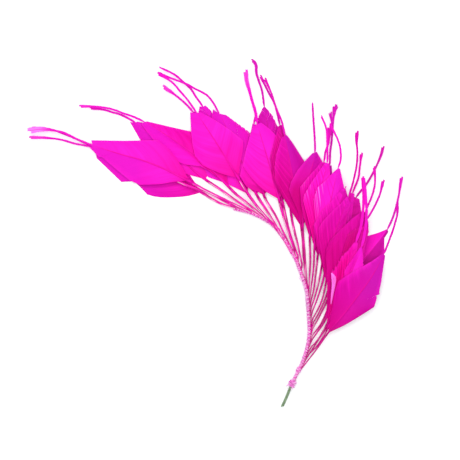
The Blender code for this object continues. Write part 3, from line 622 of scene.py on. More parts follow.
def add_tube(parts, centre, radii, sides, slot, tone=0.5, out=0.0, squash=1.0, around=None):
    """A closed round tube along the points centre (n, 3). Around, (n, sides), scales its radius."""
    centre = np.asarray(centre, dtype=float)
    rows = len(centre)
    ahead = unit(np.gradient(centre, axis=0))
    side = unit(np.cross(ahead, (0, 0, 1)))
    above = np.cross(side, ahead)
    ring = ring_directions(side, above, sides, np.broadcast_to(squash, rows)[:, None, None])
    scale = np.broadcast_to(radii, rows)[:, None] * (1.0 if around is None else around)
    points = centre[:, None, :] + np.broadcast_to(scale, (rows, sides))[..., None] * ring
    uv = tube_uv(lengths_along(centre), sides)
    values = [np.broadcast_to(np.reshape(v, (-1, 1)) if np.ndim(v) < 2 else v, (rows, sides)).ravel()
              for v in (tone, out)]
    parts.add(points.reshape(-1, 3), prism_faces(rows, 1, sides), uv.reshape(-1, 2), *values, slot)


class Plan:
    """One feather's lines in plan, and its heights read off the CAD feather."""

    def __init__(self, number, feather):
        self.number = number
        self.feather = feather
        self.random = np.random.default_rng(1000 + number)
        points = [feather.root, *feather.quill, feather.base, *feather.rachis, feather.tip, *feather.wisp]
        self.curve, index = smooth_curve([place(p) for p in points])
        self.lengths = lengths_along(self.curve)
        self.base = self.lengths[index[len(feather.quill) + 1]]
        self.tip = self.lengths[index[len(feather.quill) + len(feather.rachis) + 2]]
        self.end = self.lengths[-1]
        self.normals = turned(unit(np.gradient(self.curve, axis=0)))
        self.outlines = {-1: self.outline(feather.left, -1), 1: self.outline(feather.right, 1)}
        self.read_heights()

    def at(self, s):
        return at_length(self.curve, self.lengths, s)

    def normal(self, s):
        return unit(at_length(self.normals, self.lengths, s))

    def outline(self, given, side):
        """The vane's edge points from its base to its shoulder, and the index of the widest."""
        base = self.at(self.base)
        if given:
            points = np.array([base, *[place(p) for p in given]])
        else:
            width = self.feather.hidden_width
            corner = self.base + VANE_CORNER_AT * (self.tip - self.base)
            before = self.base + HIDDEN_BULGE_AT * (corner - self.base)
            s = np.array([before, corner, self.tip])
            half = np.array([HIDDEN_BULGE * width, width, SHOULDER_HALF_WIDTH])
            points = np.vstack([base, self.at(s) + side * half[:, None] * self.normal(s)])
        _, off = self.locate(points)
        return points, int(np.abs(off[1:]).argmax()) + 1

    def locate(self, xy):
        """The length along and the signed distance to the right of points in plan."""
        flat = xy.reshape(-1, 2)
        fine = np.arange(0.0, self.end + 0.012, 0.0008)
        line = self.at(fine)
        beyond = fine > self.end
        ahead = unit(self.curve[-1] - self.curve[-4])
        line[beyond] = self.curve[-1] + (fine[beyond] - self.end)[:, None] * ahead
        normals = self.normal(np.minimum(fine, self.end))
        apart = ((flat[:, None, :] - line[None]) ** 2).sum(-1)
        nearest = apart.argmin(1)
        gap = flat - line[nearest]
        off = (gap * normals[nearest]).sum(-1)
        along = fine[nearest] + (gap * -turned(normals[nearest])).sum(-1)
        return along.reshape(xy.shape[:-1]), off.reshape(xy.shape[:-1])

    def read_heights(self):
        """The underside's height along the middle, and how each half slopes, off the CAD feather."""
        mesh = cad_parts[f"feather_{self.number:02d}"].data
        tree = BVHTree.FromPolygons([v.co[:] for v in mesh.vertices], [p.vertices[:] for p in mesh.polygons])

        def underside(xy):
            hit = tree.ray_cast(Vector((xy[0], xy[1], -1.0)), Vector((0, 0, 1)))[0]
            return None if hit is None else hit.z

        stations = np.linspace(0, self.end, STATIONS)
        spots = self.at(stations)
        normals = self.normal(stations)
        found = [(s, underside(p)) for s, p in zip(stations, spots)]
        found = [(s, z) for s, z in found if z is not None]
        self.start = found[0][0]
        self.middle_s = np.array([s for s, _ in found])
        self.middle_z = np.array([z for _, z in found])
        self.slopes = {}
        for side in (-1, 1):
            slopes = []
            for s, spot, normal in zip(stations, spots, normals):
                if not self.base + SLOPES_FROM < s < self.tip - SLOPES_UNTIL:
                    continue
                middle = self.middle(s)
                for distance in SLOPE_DISTANCES:
                    z = underside(spot + side * distance * normal)
                    if z is not None:
                        slopes.append((s, (z - middle) / distance))
                        break
            s, slope = np.array(slopes).T
            kernel = np.array([1, 2, 3, 2, 1]) / 9
            slope = np.convolve(np.pad(slope, 2, mode="edge"), kernel, mode="valid")
            self.slopes[side] = (s, slope)

    def middle(self, s):
        return np.interp(s, self.middle_s, self.middle_z)

    def height(self, xy, side):
        """The CAD feather's underside under points in plan on one half of the vane."""
        along, off = self.locate(xy)
        slope = np.interp(along, *self.slopes[side])
        return self.middle(along) + slope * np.maximum(side * off, 0)

    def radius(self, s):
        return np.interp(s, [self.start, self.base, self.tip, self.end],
                         [QUILL_ROOT_RADIUS, QUILL_RADIUS, RACHIS_TIP_RADIUS, STEM_END_RADIUS])


def barb_surface(plan, side, fan):
    """A function of (barb share, share out) that gives plan places on one half of the vane.

    Every barb has the base side edge's bow, and the barbs' ends follow the trimmed edge. With a fan
    above 1 the barbs turn away from the base side edge more quickly.
    """
    points, corner = plan.outlines[side]
    first = resample(smooth_curve(points[:corner + 1])[0], BOW_POINTS)
    trimmed = points[corner:]
    trimmed_lengths = lengths_along(trimmed)
    chord = first[-1] - first[0]
    length = np.linalg.norm(chord)
    ahead = chord / length
    along = (first - first[0]) @ ahead / length
    bow = (first - first[0]) @ turned(ahead) / length
    shares = np.linspace(0, 1, BOW_POINTS)

    def surface(barb, out):
        root = plan.at(plan.base + barb * (plan.tip - plan.base))
        end = at_length(trimmed, trimmed_lengths, np.clip(barb, 0, 1) ** fan * trimmed_lengths[-1])
        span = end - root
        fade = 1 - 0.6 * barb[..., None]
        return (root + np.interp(out, shares, along)[..., None] * span
                + fade * np.interp(out, shares, bow)[..., None] * turned(span))

    return surface


def add_vane_half(parts, plan, side, look):
    """The barbs of one half of the vane."""
    surface = barb_surface(plan, side, look.fan)
    random = plan.random
    vane_length = plan.tip - plan.base
    count = int(vane_length / BARB_SPACING)
    barb = (np.arange(count) + 0.5) / count
    out = np.linspace(0, 1, BARB_POINTS)
    mine = [split for split in look.splits if split[0] == side]
    gaps = [(share, opening / vane_length, SPLIT_REACH) for _, share, opening, _ in mine]
    for _ in range(look.nicks):
        gaps.append((random.uniform(*NICKS_BETWEEN), random.uniform(*NICK_OPENINGS) / vane_length,
                     NICK_REACH))
    lean = np.zeros(count)
    for share, opening, reach in gaps:
        off = barb - share
        lean += np.sign(off) * opening * np.exp(-np.abs(off) / reach)
    jag = look.jag * wave(barb * vane_length, random, 4, JAG_LENGTH)
    jag += look.jag * 0.35 * random.uniform(-1, 1, count)
    jag += BARB_UNEVENNESS * random.uniform(-1, 1, count)
    for _, share, _, step in mine:
        off = barb - share
        jag += step * np.where(off < 0, 0.5, -0.5) * np.exp(-np.abs(off) / STEP_REACH)
    edge, corner = plan.outlines[side]
    reach = 1 + jag / max(np.linalg.norm(edge[corner] - plan.at(plan.base)), 0.02)
    grid_barb = np.repeat(barb[:, None], BARB_POINTS, axis=1)
    grid_out = np.repeat(out[None, :], count, axis=0)
    leaning = grid_barb + lean[:, None] * grid_out ** 2

    centre = surface(leaning, grid_out)
    along_barb = np.gradient(centre, axis=1)
    centre = centre + (reach[:, None, None] - 1) * np.linalg.norm(
        centre[:, -1:] - centre[:, :1], axis=-1, keepdims=True) * unit(along_barb) * grid_out[..., None] ** 3
    across = turned(unit(along_barb))
    step = np.gradient(centre, axis=0)
    spacing = np.abs((step * across).sum(-1))
    half = np.clip(BARB_OVERLAP * spacing, *BARB_HALF_WIDTHS)
    close = np.ones(count)
    for share, _, _ in gaps:
        close[np.abs(barb - share) < 0.6 / count] = 0.7
    half *= close[:, None]
    half[:, -1] *= 0.9
    ends = unit(np.gradient(centre[:, -1], axis=0))
    pointing = unit(along_barb)[:, -1]
    facing = (ends * across[:, -1]).sum(-1)
    least = np.where(facing < 0, -STEEPEST_CUT, STEEPEST_CUT)
    facing = np.where(np.abs(facing) < STEEPEST_CUT, least, facing)
    cut = (ends * pointing).sum(-1) / facing
    length = np.cumsum(np.linalg.norm(along_barb, axis=-1), axis=1)
    length = length - np.linalg.norm(along_barb[:, :1], axis=-1)
    ridge = RIDGE * plan.radius(plan.base + barb * vane_length)[:, None] * np.exp(-length / RIDGE_WIDTH)

    phase = random.uniform(0, 100)
    ripples = look.ripple * wave(barb * vane_length + phase, random, 3, look.ripple_length)
    slow = SLOW_RIPPLE * wave(barb * vane_length + phase, random, 2, SLOW_RIPPLE_LENGTH)

    def lift(xy, offset):
        rise = plan.height(xy, side)
        swell = CAMBER * (4 * grid_out * (1 - grid_out) - 0.8 * grid_out ** 2)
        rolling = np.interp(barb + offset / count, barb, ripples + slow)[:, None]
        rolling = rolling * np.minimum(grid_out * 2.2, 1) * (0.6 + 0.4 * grid_out)
        return rise + VANE_LIFT + swell + rolling + ridge

    sides = []
    for sign in (-1, 0, 1):
        xy = centre + sign * half[..., None] * across
        xy[:, -1] += (sign * half[:, -1] * cut)[:, None] * pointing
        z = lift(xy, -sign * side * BARB_OVERLAP) + (BARB_THICKNESS if sign == 0 else 0.0)
        sides.append(np.concatenate([xy, z[..., None]], axis=-1))
    uv = np.stack([length * UV_PER_METRE, grid_barb * vane_length * UV_PER_METRE], axis=-1)
    uv[..., 1] += 7 * plan.number + 3 * side
    tone = 0.5 + 0.2 * wave(barb * vane_length, random, 4, 0.014) + 0.06 * random.uniform(-1, 1, count)
    if side < 0:
        tone += look.bands * wave(barb * vane_length, random, 3, 0.0075)
    # Painted shade: barbs beside a split are darkened for the shadow in its crease
    for _, share, _, _ in mine:
        tone -= 1.2 * np.exp(-np.abs(barb - share) * vane_length / 0.0004)
    # Painted shade: the right half, which tilts away from the light, gets its own tone; the left half's tone
    # changes towards its edge
    shift = np.full_like(grid_out, look.right_half_painted_shade) if side > 0 else look.edge_tone * grid_out
    tone = tone[:, None] + look.tone + shift
    reached = plan.locate(centre)[0]
    along = (reached - plan.base) / vane_length
    # The right half's extra violet is painted shade; the rest is the dye's own violet towards the tips
    violet = look.violet + (look.right_half_painted_violet_shade if side > 0 else 0.0)
    # Lowering along at the base reddens it: painted shade where the feather lies under others
    along = along + violet * np.clip(0.2 + 1.4 * along, 0, 1) - look.base_painted_shade_red * np.clip(1 - along, 0, 1)
    paler = grid_out
    # Painted highlight: pale stripes near the left edge, where light catches the rippled barbs
    if look.highlight_stripes and side < 0:
        stripe = np.clip(2.2 * wave(barb * vane_length, random, 2, 0.0095), 0, 1)
        stripe = stripe * np.exp(-((barb - 0.26) / 0.24) ** 2)
        paler = grid_out + look.highlight_stripes * stripe[:, None] * np.clip(2.4 * grid_out - 0.8, 0, 1)
    add_strands(parts, *sides, uv, tone, paler, 0, along)


def wisp_width(plan, look, s):
    """Half width of the stem's barbs at length s, for its left and right: narrow, then the tuft."""
    feather = plan.feather
    tuft = max(plan.end - feather.tuft_length, plan.tip + 0.001)
    places = [plan.tip, 0.5 * (plan.tip + tuft), tuft, tuft + 0.35 * (plan.end - tuft),
              tuft + 0.8 * (plan.end - tuft), plan.end]
    wide = feather.tuft_half_width
    stem = look.stem_half_width
    return np.interp(s, places, [stem, stem, stem, 0.8 * wide, wide, 0.85 * wide])


def add_wisp_half(parts, plan, side, look):
    """The barbs left along one side of the bare stem and in the tuft at its end."""
    random = plan.random
    count = max(int((plan.end - plan.tip) / STUB_SPACING), 4)
    starts = np.linspace(plan.tip - 0.001, plan.end - 0.0012, count)
    starts = starts + random.uniform(-0.3, 0.3, count) * STUB_SPACING
    width = wisp_width(plan, look, starts)
    wider = wisp_width(plan, look, np.minimum(starts + 0.006, plan.end))
    room = np.maximum(width, wider) * random.uniform(0.75, 1.12, count)
    spread = math.tan(math.radians(look.flare))
    lengths = room / spread * random.uniform(0.9, 1.2, count)
    wide = plan.feather.tuft_half_width
    slant = TUFT_CUT_SLANT * (wide - side * np.minimum(room, wide))
    cut = plan.end - slant - random.uniform(0, 0.0005, count)
    lengths = np.clip(np.minimum(lengths, cut - starts), 0.0006, None)
    share = np.linspace(0, 1, STUB_POINTS)
    s = starts[:, None] + share[None, :] * lengths[:, None]
    limit = wisp_width(plan, look, s) * random.uniform(0.75, 1.0, count)[:, None]
    off = np.minimum((s - starts[:, None]) * spread * (1.25 - 0.25 * share), limit)
    inside = np.minimum(s, plan.end)
    centre = plan.at(inside) + (s - inside)[..., None] * unit(plan.curve[-1] - plan.curve[-4])
    centre = centre + side * off[..., None] * plan.normal(inside)
    across = turned(unit(np.gradient(centre, axis=1)))
    curl = random.uniform(-0.00012, 0.00012, count)[:, None] * share ** 2
    z = plan.middle(inside) + plan.radius(inside) + curl - 0.00005
    z = np.maximum(z, plan.middle(inside) + 0.0001)
    sides = strand_sides(centre, across, STUB_HALF_WIDTHS[None, :, None], z, STUB_RISE)
    uv = np.stack([(s - starts[:, None]) * UV_PER_METRE,
                   np.repeat(starts[:, None] * UV_PER_METRE, STUB_POINTS, axis=1)], axis=-1)
    uv[..., 1] += 11 * plan.number + 5 * side
    tone = random.uniform(0.35, 0.9, count)[:, None] + look.tone + look.stem_tone
    tone = np.repeat(tone, STUB_POINTS, axis=1)
    flag = np.clip((s - plan.end + plan.feather.tuft_length) / plan.feather.tuft_length * 2, 0, 1)
    out = 0.9 + look.flag_pale * flag
    violet = 0.95 + max(look.violet, 0.3 * look.violet)
    add_strands(parts, *sides, uv, tone, out, 0, np.full_like(tone, violet))


def add_prong(parts, plan, route):
    """A small tuft of barbs that leaves the stem and ends on its own."""
    line = plan_route(route, STUB_POINTS)
    ahead = unit(np.gradient(line, axis=0))
    s, _ = plan.locate(line)
    inside = np.minimum(s, plan.end)
    centre, z = [], []
    for k in range(PRONG_BARBS):
        off = (k - (PRONG_BARBS - 1) / 2) * PRONG_BARB_SPACING * np.linspace(0.3, 1.0, STUB_POINTS)
        centre.append(line + off[:, None] * turned(ahead))
        z.append(plan.middle(inside) + 0.0003 + 0.00003 * (k % 3))
    half = PRONG_HALF_WIDTHS[None, :, None]
    sides = strand_sides(np.array(centre), turned(ahead)[None], half, np.array(z), STUB_RISE)
    uv = np.stack([np.repeat(np.linspace(0, 1, STUB_POINTS)[None], PRONG_BARBS, axis=0),
                   np.repeat(np.arange(PRONG_BARBS)[:, None] * 0.02, STUB_POINTS, axis=1)], axis=-1)
    tone = np.repeat(plan.random.uniform(0.4, 0.8, PRONG_BARBS)[:, None], STUB_POINTS, axis=1)
    add_strands(parts, *sides, uv, tone, np.full_like(tone, 0.9), 0, np.full_like(tone, 0.9))


def add_fold(parts, plan, route):
    """The vane's edge rolled over, so that the paler underside of its barbs shows."""
    line = plan_route(route, FOLD_POINTS)
    ahead = unit(np.gradient(line, axis=0))
    width = np.interp(np.linspace(0, 1, FOLD_POINTS), *FOLD_WIDTHS)
    base = plan.height(line, -1) + VANE_LIFT
    turns = np.linspace(0.0, math.pi, FOLD_TURNS)
    centre = np.stack([line - (width * math.cos(a))[:, None] * turned(ahead) for a in turns])
    z = np.stack([base + 0.0002 + 0.55 * width * math.sin(a) for a in turns])
    sides = strand_sides(centre, turned(ahead)[None], FOLD_HALF_WIDTH, z, FOLD_RISE)
    uv = np.stack([np.repeat(lengths_along(line)[None] * UV_PER_METRE, FOLD_TURNS, axis=0),
                   np.repeat(turns[:, None] * 0.1, FOLD_POINTS, axis=1)], axis=-1)
    tone = np.repeat(plan.random.uniform(0.6, 0.9, FOLD_TURNS)[:, None], FOLD_POINTS, axis=1)
    add_strands(parts, *sides, uv, tone, np.full_like(tone, 1.75), 0, np.full_like(tone, 0.6))


def points_of(route):
    """Points in metres from photograph pixels with heights."""
    return [(*place(p[:2]), p[2]) for p in route]


class Wire:
    """The wire's centre as a smooth curve of points in metres, with the lengths along it."""

    def __init__(self):
        self.curve, _ = smooth_curve(points_of(WIRE_ROUTE), 24)
        self.lengths = lengths_along(self.curve)
        self.end = self.lengths[-1] - WIRE_END_GAP

    def at(self, s):
        return at_length(self.curve, self.lengths, s)

    def nearest(self, pixel):
        return self.lengths[np.linalg.norm(self.curve[:, :2] - place(pixel), axis=1).argmin()]

    def frames(self, s):
        """Centres at lengths s, with the directions across the wire, up from it and ahead."""
        centre = self.at(s)
        ahead = unit(self.at(s + 0.0004) - self.at(s - 0.0004))
        side = unit(np.cross(ahead, (0, 0, 1)))
        return centre, side, np.cross(side, ahead), ahead

    def wound(self, s, angle, radius):
        """Points at a distance from the wire at lengths s, turned by angle round it."""
        centre, side, above, _ = self.frames(s)
        return centre + radius[:, None] * (np.cos(angle)[:, None] * side + np.sin(angle)[:, None] * above)


def quill_line(plan, wire):
    """The quill's centre from inside the binding to the tuft's end, its radius, how flat it is and how
    much of it is stem there, and the number of points of its bare part."""
    s = np.concatenate([np.linspace(plan.start, plan.base, BARE_POINTS, endpoint=False),
                        np.linspace(plan.base, plan.tip, RACHIS_POINTS, endpoint=False),
                        np.linspace(plan.tip, plan.end, STEM_POINTS)])
    girth = np.interp(plan.number, *QUILL_GIRTH)
    radius = plan.radius(s) * np.interp(s, [plan.base - 0.002, plan.base + 0.02], [girth, 1.0])
    centre = np.concatenate([plan.at(s), (plan.middle(s) + radius)[:, None]], axis=1)
    root = wire.nearest(plan.feather.root)
    back = root - np.linspace(*QUILL_TIED_FROM_TO, 6)
    line = wire.at(back)
    ahead = unit(wire.at(back + 0.0005)[:, :2] - line[:, :2])
    toward = plan.at(plan.start) - wire.at(root)[:2]
    side = np.sign((turned(ahead) * toward).sum(-1))[:, None]
    line[:, :2] += QUILL_OFF_WIRE * side * turned(ahead)
    line[:, 2] += QUILL_ABOVE_WIRE
    kept = slice(POINTS_IN_JOINT, None)
    joined = smooth_curve(np.concatenate([line, centre[:POINTS_IN_JOINT]]), 6)[0]
    joined = resample(joined, JOINED_POINTS)
    flat = np.interp(s, [plan.base, plan.base + 0.012, plan.tip, plan.tip + 0.01],
                     [1.0, RACHIS_SQUASH, RACHIS_SQUASH, 1.0])
    centre[:, 2] -= (1 - flat) * radius
    blended = np.concatenate([joined, centre[kept]])
    radii = np.concatenate([np.full(JOINED_POINTS, radius[0]), radius[kept]])
    flat = np.concatenate([np.ones(JOINED_POINTS), flat[kept]])
    s = s[kept]
    stem = np.clip((s - plan.tip) / 0.006 + 0.5, 0, 1) - np.clip(1 - (s - plan.base) / 0.014, 0, 1)
    stem = np.concatenate([np.zeros(JOINED_POINTS), stem])
    return blended, radii, flat, stem, JOINED_POINTS + BARE_POINTS - POINTS_IN_JOINT


def add_quill(parts, plan, look, wire):
    """The bare quill, with a painted highlight stripe on its upper side towards the light, and the rachis and
    stem beyond it.
    """
    centre, radii, flat, stem, bare = quill_line(plan, wire)
    s = lengths_along(centre)
    tone = 0.4 + 0.3 * wave(s, plan.random, 3, 0.02)
    radii = radii * (1 + 0.05 * wave(s, plan.random, 3, 0.012))
    # Painted highlight: a broken near-white stripe on the sides of the quill towards the light
    pale_patches = np.interp(plan.number, *QUILL_HIGHLIGHT_STRIPE) + 1.3 * wave(s, plan.random, 4, 0.04)
    pale_patches = np.clip(pale_patches, 0, 1)
    stripe = np.zeros((len(s), QUILL_SIDES))
    for side, share in HIGHLIGHT_STRIPE_SIDES:
        stripe[:, side] = share * pale_patches
    redder = np.interp(plan.number, *QUILL_TONES)
    add_tube(parts, centre[:bare], radii[:bare], QUILL_SIDES, 1, tone=tone[:bare] + redder,
             out=stripe[:bare])
    shaft = slice(bare - 1, None)
    stem = stem[shaft]
    tone = tone[shaft] + np.where(stem < 0, -stem * redder + (1 + stem) * look.tone, look.tone)
    stem = np.where(stem > 0, np.clip(1 + look.stem_tone, 0.2, 1) * stem, stem)
    add_tube(parts, centre[shaft], radii[shaft], SHAFT_SIDES, 2, tone=tone, out=stem, squash=flat[shaft])


@dataclass
class Look:
    """How one feather's barbs depart from the plain rule."""

    splits: list = field(default_factory=list)
    nicks: int = 0
    jag: float = 0.0001
    ripple: float = 0.00005
    ripple_length: float = 0.006
    # Painted highlight: how strong the pale stripes near the left edge are
    highlight_stripes: float = 0.0
    # The right half's violet and tone below are painted shade, for how light falls on that half
    right_half_painted_violet_shade: float = 0.0
    right_half_painted_shade: float = 0.0
    edge_tone: float = 0.0
    # Painted shade: deeper red at the base of a feather that lies under others
    base_painted_shade_red: float = 0.0
    stem_tone: float = 0.0
    stem_half_width: float = STEM_HALF_WIDTH
    flare: float = 11.0
    fan: float = 1.0
    bands: float = 0.0
    tone: float = 0.0
    violet: float = 0.0
    flag_pale: float = 0.0
    prongs: list = field(default_factory=list)
    fold: list = field(default_factory=list)


# Each feather's right half gets its own tone and violet for how light falls on it: painted shade
LOOKS = {
    1: Look(tone=0.6, violet=0.5, right_half_painted_violet_shade=-0.6, flag_pale=1.0, flare=20.0),
    2: Look(tone=1.6, violet=1.0, flag_pale=0.3),
    3: Look(tone=0.0, violet=0.5),
    4: Look(tone=0.6, violet=0.15, right_half_painted_violet_shade=-0.5, right_half_painted_shade=-0.6, flag_pale=0.2),
    5: Look(tone=1.3, violet=0.3),
    6: Look(tone=0.4, violet=-0.15),
    7: Look(tone=1.5, violet=0.6, flag_pale=0.3),
    8: Look(jag=0.0012, nicks=6, tone=1.2, violet=0.2),
    9: Look(jag=0.0012, nicks=5, tone=1.6, violet=0.2),
    10: Look(stem_half_width=0.0012, tone=0.5, violet=-0.2, right_half_painted_shade=0.8, right_half_painted_violet_shade=0.25, flag_pale=0.3,
             bands=0.25),
    11: Look(tone=0.3),
    12: Look(jag=0.0016, nicks=6, violet=-0.25, tone=-0.2),
    13: Look(tone=0.0, violet=-0.8, right_half_painted_shade=-0.4, bands=0.6),
    14: Look(tone=-0.8, violet=-0.4, right_half_painted_shade=-0.6, right_half_painted_violet_shade=0.5, edge_tone=0.3, bands=0.5),
    # F15 lies half under F16: its darker, redder barbs are painted shade
    15: Look(tone=-1.0, violet=0.1, base_painted_shade_red=1.0),
    16: Look(ripple=0.00016, ripple_length=0.006, tone=-0.3, violet=-0.3, bands=0.5, highlight_stripes=0.15),
    17: Look(ripple=0.00016, ripple_length=0.006, tone=0.4, violet=-0.35, bands=0.7, highlight_stripes=0.25),
    18: Look(prongs=[[(333.8, 117), (335, 112), (338.2, 106)], [(332.6, 128), (331.5, 120), (329.3, 112.3)],
                     [(333.4, 122), (331.5, 116), (331.6, 111)]], tone=0.2, violet=-0.1),
    19: Look(ripple=0.0002, ripple_length=0.0042, tone=0.9, violet=-0.15, right_half_painted_violet_shade=0.3, bands=0.9,
             highlight_stripes=1.1),
    20: Look(ripple=0.00016, ripple_length=0.005, tone=-0.3, violet=-0.25, right_half_painted_shade=-0.5, bands=0.4),
    21: Look(ripple=0.00016, ripple_length=0.005, tone=-0.5, violet=-0.25, bands=0.5, stem_tone=-1.2),
    22: Look(tone=1.0, violet=-0.7, right_half_painted_violet_shade=0.4, stem_tone=-0.8),
    23: Look(tone=0.1, violet=-0.7, stem_tone=-0.6),
    24: Look(tone=-0.3, violet=-0.5),
    25: Look(tone=0.2, violet=-0.8, jag=0.0008, bands=0.4),
    26: Look(stem_half_width=0.0011, tone=0.1, violet=-0.6, base_painted_shade_red=0.6, jag=0.0018, bands=0.5,
             fold=[(331.4, 272.8), (333.5, 277.5), (333.6, 283.5), (332.9, 290), (332.0, 296), (331.0, 304)]),
    27: Look(stem_half_width=0.0011, tone=1.2, violet=0.0, jag=0.0012, bands=0.5),
    28: Look(tone=0.8, right_half_painted_shade=-1.5, violet=-0.35),
    29: Look(splits=[(1, 0.39, 0.0001, -0.006)], tone=-1.2, violet=0.0, right_half_painted_shade=-1.8, edge_tone=0.9,
             right_half_painted_violet_shade=0.3, fan=1.5),
}


# How light the bare quills are, how strong their painted highlight stripe is and how thick they are, by
# feather from the first to the last
QUILL_TONES = ((1, 9, 16, 29), (0.2, 0.1, -0.3, -0.5))
QUILL_HIGHLIGHT_STRIPE = ((1, 9, 16, 29), (0.3, 0.2, -0.4, -0.9))
QUILL_GIRTH = ((1, 9, 14, 17, 29), (1.35, 1.3, 1.15, 1.0, 0.85))

# Dark, middle and light colours
DYES = {
    BRIGHT: ((0.64, 0.001, 0.34), (0.80, 0.003, 0.46), (0.96, 0.012, 0.61)),
    DEEP: ((0.60, 0.001, 0.31), (0.74, 0.003, 0.43), (0.90, 0.010, 0.57)),
    PURPLE: ((0.56, 0.002, 0.33), (0.66, 0.004, 0.42), (0.92, 0.012, 0.61)),
}
QUILL_COLOURS = ((0.50, 0.001, 0.20), (0.76, 0.0015, 0.36), (1.0, 0.005, 0.52))
THREAD_COLOURS = ((0.60, 0.05, 0.42), (0.94, 0.24, 0.74), (1.0, 0.74, 0.96))
CORE_COLOURS = ((0.62, 0.01, 0.34), (0.84, 0.06, 0.52), (1.0, 0.3, 0.76))
PAPER_COLOURS = ((0.07, 0.12, 0.06), (0.17, 0.26, 0.14), (0.36, 0.47, 0.30))
STEEL_COLOURS = ((0.35, 0.34, 0.33), (0.62, 0.61, 0.58))

# Dyes whose middle colour has no more red than this turn a deeper violet towards the barbs' tips
VIOLET_FROM = 0.7
DEEPER_VIOLET = 0.78
DARKEST_VIOLET = 0.74
SHAFT_STOPS = (0.3, 0.52, 0.74)


def make_feather(number, wire, materials):
    feather = FEATHERS[number]
    plan = Plan(number, feather)
    look = LOOKS.get(number, Look())
    parts = MeshParts()
    for side in (-1, 1):
        add_vane_half(parts, plan, side, look)
        add_wisp_half(parts, plan, side, look)
    add_quill(parts, plan, look, wire)
    for route in look.prongs:
        add_prong(parts, plan, route)
    if look.fold:
        add_fold(parts, plan, look.fold)
    piece = parts.make(f"barbed_feather_{number:02d}", materials[feather.dye], smooth_slots=(1, 2))
    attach(piece, "root")
    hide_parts(f"feather_{number:02d}")
    return piece


def bound_radius(s, start, end, lump):
    """The bound bundle's radius at lengths s: a slow taper with a small lump near the knot."""
    radius = np.interp(s, [start, start + BINDING_WIDENS_OVER, end], BINDING_RADII)
    off = np.clip(np.abs(s - lump) / (LUMP_LENGTH / 2), 0, 1)
    return radius + (LUMP_RADIUS - radius) * np.sqrt(1 - off ** 2)


def make_binding(wire, materials):
    """The thread wound round wire and quills, its knot and its loose fibres."""
    random = np.random.default_rng(7)
    parts = MeshParts()
    knot = wire.nearest(KNOT_CENTRE)
    lump = wire.nearest(LUMP_CENTRE)
    start, end = knot - 0.001, wire.end
    places = (start, end, lump)

    core_s = np.arange(start, end, CORE_STEP)
    core = wire.at(core_s)
    lumps = 1 + 0.06 * np.stack([wave(core_s, random, 3, 0.009) for _ in range(CORE_SIDES)], axis=1)
    add_tube(parts, core, bound_radius(core_s, *places) - CORE_INSET, CORE_SIDES, 1, around=lumps)

    opens = wire.nearest(WINDING_OPENS_AT)
    along = np.linspace(start, end, 4000)
    pitch = np.interp(along, [start, opens, opens + WINDING_OPENS_OVER, end], THREAD_PITCHES)
    pitch = pitch * (1 + 0.35 * wave(along, random, 4, 0.007))
    turned_by = 2 * math.pi * np.concatenate([[0], np.cumsum(np.diff(along) / pitch[1:])])
    angle = np.arange(0, turned_by[-1], 2 * math.pi / POINTS_PER_TURN)
    s = np.interp(angle, turned_by, along)
    s = s + 0.0004 * wave(s, random, 4, 0.004)
    s = np.clip(s, start, end)
    radius = bound_radius(s, *places) - THREAD_RADIUS + 0.0002 * wave(s, random, 4, 0.004)
    patches = np.sin(angle + 2 * math.pi * s / 0.0031) + 0.8 * np.sin(2 * angle - 2 * math.pi * s / 0.0019)
    radius += 0.00009 * patches
    add_tube(parts, wire.wound(s, angle, radius), THREAD_RADIUS, 5, 0,
             tone=0.5 + 0.4 * wave(s, random, 5, 0.003) + 0.35 * patches)

    for pitch, turned_by in CROSSING_THREADS:
        turns = (end - start) / abs(pitch)
        angle = np.arange(0, turns * 2 * math.pi, 2 * math.pi / 16)
        s = start + abs(pitch) * angle / (2 * math.pi)
        s = np.clip(s + 0.0006 * wave(s, random, 3, 0.01), start, end)
        radius = bound_radius(s, *places) + 0.00006 + 0.00005 * wave(s, random, 4, 0.005)
        add_tube(parts, wire.wound(s, np.sign(pitch) * angle + turned_by, radius),
                 CROSSING_RADIUS, 5, 0, tone=0.7)

    add_knot(parts, wire, knot, random)
    add_whisker(parts)
    add_fuzz(parts, wire, knot, places, random)
    piece = parts.make("wound_thread", materials, smooth_slots=(0, 1))
    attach(piece, "root")
    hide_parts("thread_binding")


def add_knot(parts, wire, knot, random):
    """Loose lumpy loops of doubled thread round the wire, and two cut ends."""
    angle = np.linspace(0, KNOT_TURNS * 2 * math.pi, KNOT_TURNS * 22)
    s = knot + KNOT_SPREAD * np.sin(angle * 0.29) + 0.0005 * wave(angle, random, 3, 9.0)
    radius = KNOT_LOOP_RADIUS + 0.0007 * wave(angle, random, 4, 7.0)
    add_tube(parts, wire.wound(s, angle, radius), KNOT_THREAD_RADIUS, 7, 0,
             tone=0.35 + 0.5 * wave(angle, random, 3, 5.0))
    s = knot + np.linspace(-0.0028, 0.003, 9)
    body = KNOT_BODY_RADIUS * np.sqrt(np.clip(1 - np.linspace(-0.93, 0.93, 9) ** 2, 0, 1)) + 0.0004
    add_tube(parts, wire.at(s), body, 12, 0, tone=0.3)
    for tilt, reach in KNOT_ENDS:
        share = np.linspace(0, 1, 7)
        ends = wire.wound(knot - 0.001 - 0.0028 * share, tilt + 0.8 * share,
                          KNOT_END_ROOT + (reach - KNOT_END_ROOT) * share)
        add_tube(parts, ends, KNOT_END_RADIUS, 6, 0, tone=0.6)


def add_whisker(parts):
    """The loose end of thread that stands off the binding."""
    line = smooth_curve(points_of(WHISKER_ROUTE), 5)[0]
    add_tube(parts, line, np.linspace(0.0003, 0.00018, len(line)), 6, 0, tone=0.7)
    for turn in (-1, 1):
        bend = line[8:].copy()
        bend[:, :2] += turn * np.linspace(0, 0.0007, len(bend))[:, None] * np.array([0.7, 0.7])
        add_tube(parts, bend, 0.00006, 4, 0, tone=0.8)


